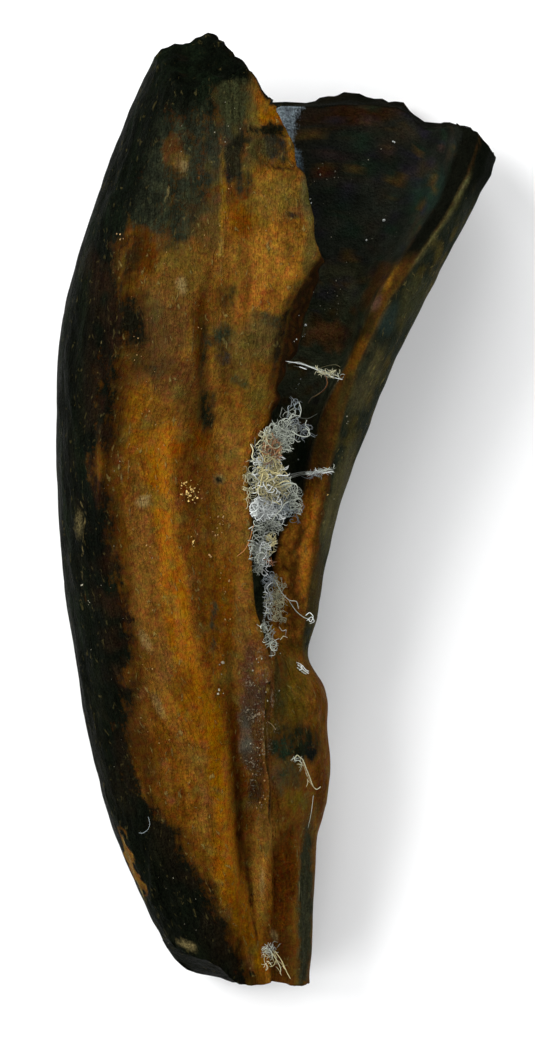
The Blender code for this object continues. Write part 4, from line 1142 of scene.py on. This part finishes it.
def tube(points, radius, tip_share=0.4):
    """Vertices and faces of a thin tube along points, tapering at its ends."""
    points = np.array(points, float)
    forward = np.gradient(points, axis=0)
    forward /= np.linalg.norm(forward, axis=1)[:, None] + 1e-9
    side = np.cross(forward, (0, 0, 1.0))
    side /= np.linalg.norm(side, axis=1)[:, None] + 1e-9
    up = np.cross(side, forward)
    count = len(points)
    from_end = np.minimum(np.arange(count), np.arange(count)[::-1])
    radii = radius * np.where(from_end == 0, tip_share, 1.0)
    turns = np.arange(FIBRE_SIDES) * 2 * math.pi / FIBRE_SIDES
    rings = (
        points[:, None]
        + radii[:, None, None] * np.cos(turns)[None, :, None] * side[:, None]
        + radii[:, None, None] * np.sin(turns)[None, :, None] * up[:, None]
    )
    faces = []
    for ring in range(count - 1):
        here, there = ring * FIBRE_SIDES, (ring + 1) * FIBRE_SIDES
        for k in range(FIBRE_SIDES):
            j = (k + 1) % FIBRE_SIDES
            faces.append((here + k, here + j, there + j, there + k))
    faces.append(tuple(range(FIBRE_SIDES))[::-1])
    faces.append(tuple((count - 1) * FIBRE_SIDES + k for k in range(FIBRE_SIDES)))
    return rings.reshape(-1, 3), faces


def mesh_piece(name, vertices, faces, colour_name, colours, material):
    """A piece from rows of vertices in millimetres, with a colour at each."""
    mesh = bpy.data.meshes.new(name)
    mesh.from_pydata((vertices * MM).tolist(), [], faces)
    store_colour(mesh, colour_name, colours)
    mesh.materials.append(material)
    piece = bpy.data.objects.new(name, mesh)
    bpy.context.scene.collection.objects.link(piece)
    return piece


def make_fibres(node, tooth, material, seed):
    """All the fibres of one CAD lint solid: its tufts, then its loose hairs."""
    rng = random.Random(seed)
    surfaces = Surfaces(tooth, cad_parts[node])
    fibres = []
    for colour, x, y, across, length, direction, spread, count, curl, radius in TUFTS[node]:
        for _ in range(count):
            heading = math.radians(direction + rng.uniform(-spread, spread))
            thickness = radius * rng.uniform(0.6, 1.4)
            points = curly_fibre(rng, surfaces, (x, y), (across, length), heading, curl, thickness)
            if len(points) > 3:
                tone = 0.3 + 0.75 * rng.random()
                fibres.append((points, thickness, np.array(linear(colour)) * tone))
    for colour, radius, lift, *route in HAIRS.get(node, ()):
        fibres.append((hair(surfaces, route, lift, radius), radius, np.array(linear(colour))))
    vertices, faces, colours, start = [], [], [], 0
    for points, radius, colour in fibres:
        rings, sides = tube(points, radius)
        vertices.append(rings)
        faces.extend(tuple(start + i for i in face) for face in sides)
        colours.append(np.tile(np.minimum(colour, 1), (len(rings), 1)))
        start += len(rings)
    piece = mesh_piece(
        node + "_fibres", np.vstack(vertices), faces, "fibre_colour", np.vstack(colours), material
    )
    piece.data.shade_smooth()
    return piece


# ---------------------------------------------------------------- dust and grains

# Specks lying on the tooth: colour, middle x and y, half width, half length, how many, smallest and
# largest radius
GOLD = "#e3bd6c"
SAND = "#b08a55"
ASH = "#a09a84"
SPECKS = (
    (GOLD, -1.6, 0.28, 0.08, 0.08, 7, 0.02, 0.045),
    (GOLD, -1.6, 0.3, 0.2, 0.26, 30, 0.008, 0.026),
    (GOLD, -1.66, 0.48, 0.04, 0.04, 3, 0.014, 0.022),
    (GOLD, -1.56, -0.65, 0.05, 0.18, 6, 0.012, 0.026),
    (SAND, -1.1, -0.3, 0.14, 0.3, 9, 0.014, 0.034),
    (SAND, -1.2, -0.2, 0.4, 0.5, 14, 0.008, 0.018),
    (SAND, -1.23, -0.9, 0.03, 0.03, 2, 0.03, 0.045),
    (SAND, -0.87, -1.36, 0.02, 0.03, 2, 0.02, 0.03),
    (SAND, -0.94, -2.1, 0.02, 0.02, 1, 0.02, 0.028),
    (ASH, -1.02, -3.2, 0.08, 0.5, 6, 0.016, 0.04),
    (SAND, -0.9, -1.6, 0.3, 0.8, 10, 0.008, 0.018),
    (ASH, -0.3, -4.2, 0.2, 1.5, 18, 0.008, 0.026),
    (SAND, -0.3, -5.0, 0.2, 0.8, 14, 0.01, 0.03),
    (ASH, 0.53, -3.03, 0.03, 0.03, 1, 0.035, 0.04),
    (ASH, 0.0, -3.45, 0.3, 0.8, 5, 0.01, 0.02),
    (ASH, -3.52, -1.8, 0.04, 0.12, 3, 0.012, 0.02),
    (ASH, -3.48, -2.68, 0.01, 0.01, 1, 0.014, 0.018),
    (ASH, -3.65, -1.46, 0.02, 0.05, 2, 0.02, 0.03),
    (WHITE, 0.66, 5.8, 0.03, 0.1, 3, 0.014, 0.026),
    (WHITE, 0.45, 3.4, 0.2, 0.3, 7, 0.012, 0.028),
    (WHITE, 0.58, 3.46, 0.02, 0.02, 1, 0.04, 0.045),
    (ASH, -1.2, 7.0, 0.7, 0.8, 9, 0.008, 0.016),
    (SAND, -2.9, 5.15, 0.12, 0.1, 4, 0.018, 0.03),
    (SAND, -0.9, 5.5, 0.8, 1.0, 16, 0.008, 0.018),
    (SAND, -2.0, 3.5, 0.8, 1.4, 16, 0.008, 0.018),
    (SAND, -2.4, 0.5, 0.4, 1.5, 18, 0.01, 0.02),
    (SAND, -2.3, -3.2, 0.5, 1.8, 10, 0.008, 0.018),
    (ASH, -3.0, -1.0, 0.7, 4.0, 12, 0.006, 0.014),
    (ASH, -1.7, -7.5, 0.6, 1.3, 10, 0.008, 0.016),
    (WHITE, 2.07, 5.45, 0.03, 0.03, 3, 0.02, 0.034),
    (WHITE, 2.27, 6.95, 0.04, 0.03, 2, 0.018, 0.028),
    (WHITE, 1.73, 5.07, 0.03, 0.03, 1, 0.02, 0.028),
    (ASH, 1.0, 6.35, 0.25, 0.15, 7, 0.012, 0.03),
    (ASH, 1.6, 5.6, 1.0, 1.4, 22, 0.006, 0.018),
    (ASH, 1.0, 4.0, 0.4, 0.4, 12, 0.012, 0.028),
    (WHITE, 0.5, 2.3, 0.2, 0.25, 4, 0.014, 0.026),
    (WHITE, 0.44, 0.93, 0.02, 0.02, 1, 0.018, 0.022),
    (GOLD, 0.98, 0.25, 0.03, 0.03, 2, 0.015, 0.022),
    (ASH, 1.38, 1.65, 0.08, 0.12, 3, 0.012, 0.024),
    (ASH, 1.1, -0.5, 0.4, 2.0, 14, 0.008, 0.018),
)


def make_dust(tooth, material):
    """Grains of sand and dust: one small stone, copied to where each speck lies."""
    rng = random.Random(11)
    deselect_all()
    bpy.ops.mesh.primitive_ico_sphere_add(subdivisions=1, radius=1)
    stone = bpy.context.active_object
    form = np.array([vertex.co for vertex in stone.data.vertices])
    sides = [tuple(face.vertices) for face in stone.data.polygons]
    bpy.data.objects.remove(stone)
    tree = Surfaces.tree_of(tooth)
    vertices, faces, colours = [], [], []
    for colour, x, y, across, length, count, smallest, largest in SPECKS:
        for _ in range(count):
            at = place_in_ellipse(rng, x, y, across, length)
            size = smallest + (largest - smallest) * rng.random() ** 2
            z = Surfaces.height(tree, *at)
            bumps = np.array([[rng.uniform(0.7, 1.2)] for _ in form])
            spin = Vector((rng.gauss(0, 1), rng.gauss(0, 1), rng.gauss(0, 1))).to_track_quat("Z", "Y")
            stretch = rng.uniform(0.7, 1.0), rng.uniform(0.6, 0.9), rng.uniform(0.5, 0.8)
            tone = np.array(linear(colour)) * rng.uniform(0.5, 1.0)
            if z is None:
                continue
            turned = form * bumps * stretch @ np.array(spin.to_matrix()).T
            start = len(vertices) * len(form)
            vertices.append(turned * size + (*at, z + 0.25 * size))
            faces.extend(tuple(start + i for i in side) for side in sides)
            colours.append(np.tile(tone, (len(form), 1)))
    return mesh_piece("dust_grains", np.vstack(vertices), faces, "grain_colour", np.vstack(colours), material)


# ---------------------------------------------------------------- materials


def add_node(material, kind, inputs, give=0, **settings):
    """Adds a shader node with settings; inputs are values or other nodes' outputs. Returns one output."""
    node = material.node_tree.nodes.new("ShaderNode" + kind)
    for name, value in settings.items():
        setattr(node, name, value)
    for name, value in inputs.items():
        if isinstance(value, bpy.types.NodeSocket):
            material.node_tree.links.new(value, node.inputs[name])
        else:
            node.inputs[name].default_value = value
    return node.outputs[give]


def new_material(name, roughness, ior):
    material = bpy.data.materials.new(name)
    material.use_nodes = True
    shader = material.node_tree.nodes["Principled BSDF"]
    shader.inputs["Roughness"].default_value = roughness
    shader.inputs["IOR"].default_value = ior
    return material, shader


# Sizes of the tooth's grain, mottling and rust, and the height of its relief, in millimetres
GRAIN_SIZE = 0.04
MOTTLE_SIZE = 0.25
RUST_SIZE = 0.1
BUMP_HEIGHT = 0.06


class EnamelNodes:
    """Makes the nodes of the tooth's material, and holds the patterns that its colours and relief share."""

    def __init__(self, material):
        self.material = material
        self.place = add_node(material, "TexCoord", {}, give="Object")
        self.flow = self.attribute("lengthwise", give="Vector")
        self.raw = self.attribute("raw")
        self.grain = self.noise(self.place, 1 / (GRAIN_SIZE * MM), Detail=2)
        self.mottle = self.noise(self.place, 1 / (MOTTLE_SIZE * MM), Detail=5, Roughness=0.65)
        # Streaks 0.1 mm wide and a few mm long, and fine wrinkles 0.15 mm apart
        self.streak = self.noise(self.along_tooth(9, 1.0), Detail=5, Roughness=0.65)
        folds = self.noise(self.along_tooth(6, 2.2), Detail=3, Roughness=0.6, Distortion=0.5)
        lines = self.noise(self.along_tooth(4, 0.3), Detail=4, Roughness=0.6)
        fold_side, line_side = self.from_middle(folds), self.from_middle(lines)
        worn = self.between(self.raw, 0.0, 0.4, 1.0, 0.0)
        self.fold = self.maths("MULTIPLY", self.between(fold_side, 0.15, 0.0), worn)
        self.long_line = self.maths("MULTIPLY", self.between(line_side, 0.02, 0.0), worn)
        wrinkled = self.attribute("wrinkled")
        self.wrinkle = self.maths("MULTIPLY", self.between(fold_side, 0.035, 0.0), wrinkled)

    def attribute(self, name, give="Fac"):
        return add_node(self.material, "Attribute", {}, give=give, attribute_name=name)

    def noise(self, vector, scale=1, **inputs):
        return add_node(self.material, "TexNoise", {"Vector": vector, "Scale": scale, **inputs})

    def along_tooth(self, across, along):
        """The place on the surface, scaled across and along the tooth."""
        return add_node(self.material, "Mapping", {"Vector": self.flow, "Scale": (across, along, across)})

    def maths(self, operation, first, second, third=0.0):
        return add_node(self.material, "Math", {0: first, 1: second, 2: third}, operation=operation)

    def from_middle(self, pattern):
        """How far a noise is from its middle value, which it passes along winding lines."""
        return self.maths("ABSOLUTE", self.maths("SUBTRACT", pattern, 0.5), 0.0)

    def between(self, value, low, high, to_low=0.0, to_high=1.0):
        limits = {"From Min": low, "From Max": high, "To Min": to_low, "To Max": to_high}
        return add_node(self.material, "MapRange", {"Value": value, **limits})

    def mixed(self, amount, below, above):
        inputs = {0: amount, 6: below, 7: above}
        return add_node(self.material, "Mix", inputs, give=2, data_type="RGBA")

    def scaled(self, colour, shade):
        return add_node(self.material, "VectorMath", {0: colour, "Scale": shade}, operation="SCALE")


def dark_cover(nodes):
    """How far the dark stain covers; its edge is ragged at the scale of the patterns."""
    level = nodes.attribute("dark_level")
    for pattern, share in ((nodes.mottle, 2.6), (nodes.streak, 1.8), (nodes.grain, 1.4)):
        level = nodes.maths("MULTIPLY_ADD", pattern, share, nodes.maths("SUBTRACT", level, share / 2))
    return nodes.between(level, -0.75, 0.55)


def light_colour(nodes):
    """The soft colour under mottling, streaks, grain and folds, with painted highlights: paler along the
    raised folds, and evened out towards a bright tone on the crest.
    """
    shade = nodes.between(nodes.mottle, 0.3, 0.7, 0.58, 1.04)
    for limits in (
        (nodes.streak, 0.3, 0.7, 0.9, 1.1),
        (nodes.grain, 0.3, 0.7, 0.7, 1.3),
        # the folds' raised lines painted paler: a painted highlight
        (nodes.fold, 0.0, 1.0, 0.96, 1.1),
        (nodes.wrinkle, 0.0, 1.0, 1.0, 1.8),
        (nodes.long_line, 0.0, 1.0, 1.0, 1.2),
    ):
        shade = nodes.maths("MULTIPLY", shade, nodes.between(*limits))
    # The crest's painted highlight: its shade is pulled towards a bright, even tone
    to_even = nodes.maths("SUBTRACT", 0.95, shade)
    shade = nodes.maths("MULTIPLY_ADD", nodes.attribute("crest"), to_even, shade)
    return nodes.scaled(nodes.attribute("tint", "Color"), shade)


def dark_colour(nodes):
    """The dark stain's colour under grain and streaks, a trace paler on the wrinkles."""
    grain = nodes.between(nodes.grain, 0.3, 0.7, 0.35, 1.1)
    streak = nodes.between(nodes.streak, 0.3, 0.7, 0.5, 1.5)
    dark = nodes.scaled(nodes.attribute("stain_and_shade_tint", "Color"), nodes.maths("MULTIPLY", grain, streak))
    return nodes.mixed(nodes.maths("MULTIPLY", nodes.wrinkle, 0.05), dark, (*linear("#6b6a52"), 1))


def mineral_marks(nodes, cover):
    """How strong the pale flakes, the pale lines, the crust along the seam and the pale crumbs are; the lines
    are a painted highlight, and the crumbs partly painted glints.
    """
    flakes_grain = nodes.between(nodes.grain, 0.35, 0.65, 0.4, 1.2)
    flakes = nodes.maths("MULTIPLY", nodes.attribute("pale_mark"), flakes_grain)
    # The pale lines are a painted highlight of fine ridges and edges
    near_line = nodes.between(nodes.attribute("pale_line"), 1.0, 0.3)
    lines = nodes.maths("MULTIPLY", near_line, nodes.between(nodes.mottle, 0.44, 0.56))
    crusted = nodes.between(nodes.maths("ADD", nodes.mottle, nodes.grain), 1.1, 1.2, 0, 0.6)
    crust = nodes.maths("MULTIPLY", crusted, nodes.attribute("crust"))
    # Crumbs of mineral, a tenth of a millimetre long, where the enamel is neither dark nor raw; their
    # paleness also stands for glints, a painted highlight
    specks = nodes.noise(nodes.along_tooth(12, 6), Detail=2, Distortion=0.6)
    hidden = nodes.maths("MAXIMUM", nodes.maths("MULTIPLY", cover, 0.7), nodes.raw)
    bare = nodes.maths("SUBTRACT", 1.0, hidden)
    crumbs_and_glints = nodes.maths("MULTIPLY", nodes.between(specks, 0.64, 0.72, 0, 0.45), bare)
    return flakes, lines, crust, crumbs_and_glints


def stained_enamel():
    """Fossil enamel and dentine: worn smooth and waxy, stained by minerals, with a fine lengthwise grain."""
    material, shader = new_material("fossil apatite, worn", 0.5, 1.5)
    nodes = EnamelNodes(material)
    cover = dark_cover(nodes)
    flakes, lines, crust, crumbs_and_glints = mineral_marks(nodes, cover)
    colour = nodes.mixed(cover, light_colour(nodes), dark_colour(nodes))
    # The stain runs from olive to rust over a tenth of a millimetre
    rust = nodes.noise(nodes.place, 1 / (RUST_SIZE * MM), Detail=3)
    hue = nodes.between(rust, 0.3, 0.7, 0.478, 0.518)
    colour = add_node(material, "HueSaturation", {"Hue": hue, "Saturation": 1.03, "Color": colour})
    for mark, amount in (
        ("#8b7c50", flakes),
        # the pale lines: painted highlight
        ("#8a7a4c", nodes.maths("MULTIPLY", lines, 0.5)),
        ("#94856c", crust),
        # the crumbs: partly painted glints
        ("#7d7140", crumbs_and_glints),
    ):
        colour = nodes.mixed(amount, colour, (*linear(mark), 1))
    # Worn, waxy enamel has a soft low gloss, and the raw breaks none
    roughness = nodes.between(nodes.mottle, 0.3, 0.7, 0.4, 0.56)
    roughness = nodes.maths("MULTIPLY_ADD", nodes.raw, 0.3, roughness)
    shader.inputs["Specular IOR Level"].default_value = 0.005
    height = nodes.maths("MULTIPLY_ADD", nodes.streak, 0.6, nodes.maths("MULTIPLY", nodes.grain, 0.5))
    for relief, share in (
        (nodes.wrinkle, 0.4),
        (nodes.fold, 0.3),
        (lines, 0.6),
        (crumbs_and_glints, 1.2),
        (crust, 2.0),
        (nodes.long_line, 0.3),
        (nodes.mottle, 1.6),
    ):
        height = nodes.maths("MULTIPLY_ADD", relief, share, height)
    relief_inputs = {"Height": height, "Strength": 1, "Distance": BUMP_HEIGHT * MM}
    bump = add_node(material, "Bump", relief_inputs, give="Normal")
    for name, output in (("Base Color", colour), ("Roughness", roughness), ("Normal", bump)):
        material.node_tree.links.new(output, shader.inputs[name])
    return material


def mesh_coloured(name, roughness, ior, specular, attribute_name):
    """A plain material that takes its colour from an attribute of the mesh."""
    material, shader = new_material(name, roughness, ior)
    colour = add_node(material, "Attribute", {}, give="Color", attribute_name=attribute_name)
    material.node_tree.links.new(colour, shader.inputs["Base Color"])
    shader.inputs["Specular IOR Level"].default_value = specular
    return material, shader


def woolly_lint():
    """Household lint: matt cotton and wool fibres of mixed colours, with a faint sheen."""
    material, shader = mesh_coloured("cotton and wool lint, matted", 0.85, 1.5, 0.2, "fibre_colour")
    shader.inputs["Sheen Weight"].default_value = 0.3
    return material


def mineral_grains():
    """Loose sand and dust: dull, slightly rough grains of several pale colours."""
    material, _ = mesh_coloured("quartz and clay dust, dry", 0.7, 1.54, 0.3, "grain_colour")
    return material


# ---------------------------------------------------------------- camera, light and floor


def add_camera():
    bpy.ops.object.camera_add(location=(CAMERA_AIM[0] * MM, CAMERA_AIM[1] * MM, CAMERA_HEIGHT * MM))
    camera = bpy.context.active_object
    camera.rotation_euler = (0, 0, 0)
    camera.data.sensor_width = SENSOR
    camera.data.lens = SENSOR * (CAMERA_HEIGHT - TOOTH_FACE_HEIGHT) / FRAME_TALL
    camera.data.clip_start = 0.01
    camera.data.clip_end = 10
    bpy.context.scene.camera = camera


# A ring of low lamps: what faces up mirrors the dark between them, so the stains keep their depth
LAMP_TILT = 57
LAMP_SIZE = 40
# Where each comes from, in degrees, and how strong it is
LAMPS = ((240, 3.3), (180, 1.4), (300, 1.5), (120, 0.8), (0, 0.8), (60, 0.6))
SKY_COLOUR = (0.94, 0.97, 1, 1)
SKY_STRENGTH = 0.2


def add_light():
    """Lamps all round, and a little light from the sky."""
    for azimuth, strength in LAMPS:
        bpy.ops.object.light_add(type="SUN")
        lamp = bpy.context.active_object
        lamp.rotation_euler = (math.radians(LAMP_TILT), 0, math.radians(azimuth))
        lamp.data.energy = strength
        lamp.data.angle = math.radians(LAMP_SIZE)
    world = bpy.context.scene.world or bpy.data.worlds.new("studio")
    bpy.context.scene.world = world
    world.use_nodes = True
    background = world.node_tree.nodes["Background"]
    background.inputs["Color"].default_value = SKY_COLOUR
    background.inputs["Strength"].default_value = SKY_STRENGTH
    bpy.context.scene.view_settings.view_transform = "Standard"
    bpy.context.scene.view_settings.look = "None"


FLOOR_SIZE_M = 3
PAPER_WHITE = (0.93, 0.93, 0.93, 1)


def add_floor():
    bpy.ops.mesh.primitive_plane_add(size=FLOOR_SIZE_M)
    floor = bpy.context.active_object
    floor.name = "floor"
    material, shader = new_material("white paper", 0.9, 1.5)
    shader.inputs["Base Color"].default_value = PAPER_WHITE
    shader.inputs["Specular IOR Level"].default_value = 0.0
    floor.data.materials.append(material)


def main():
    add_camera()
    add_light()
    add_floor()
    tooth = make_tooth_piece()
    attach(tooth, "root")
    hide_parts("tooth")
    dust = make_dust(tooth, mineral_grains())
    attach(dust, "root")
    lint = woolly_lint()
    for seed, node in enumerate(TUFTS, start=5):
        piece = make_fibres(node, tooth, lint, seed)
        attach(piece, "root")
        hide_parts(node)


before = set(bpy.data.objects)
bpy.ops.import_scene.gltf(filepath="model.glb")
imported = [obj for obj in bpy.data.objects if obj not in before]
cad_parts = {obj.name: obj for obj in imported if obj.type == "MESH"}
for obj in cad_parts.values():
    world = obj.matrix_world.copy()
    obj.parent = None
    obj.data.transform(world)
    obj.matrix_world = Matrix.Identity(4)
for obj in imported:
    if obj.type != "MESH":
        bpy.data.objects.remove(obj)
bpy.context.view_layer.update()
main()
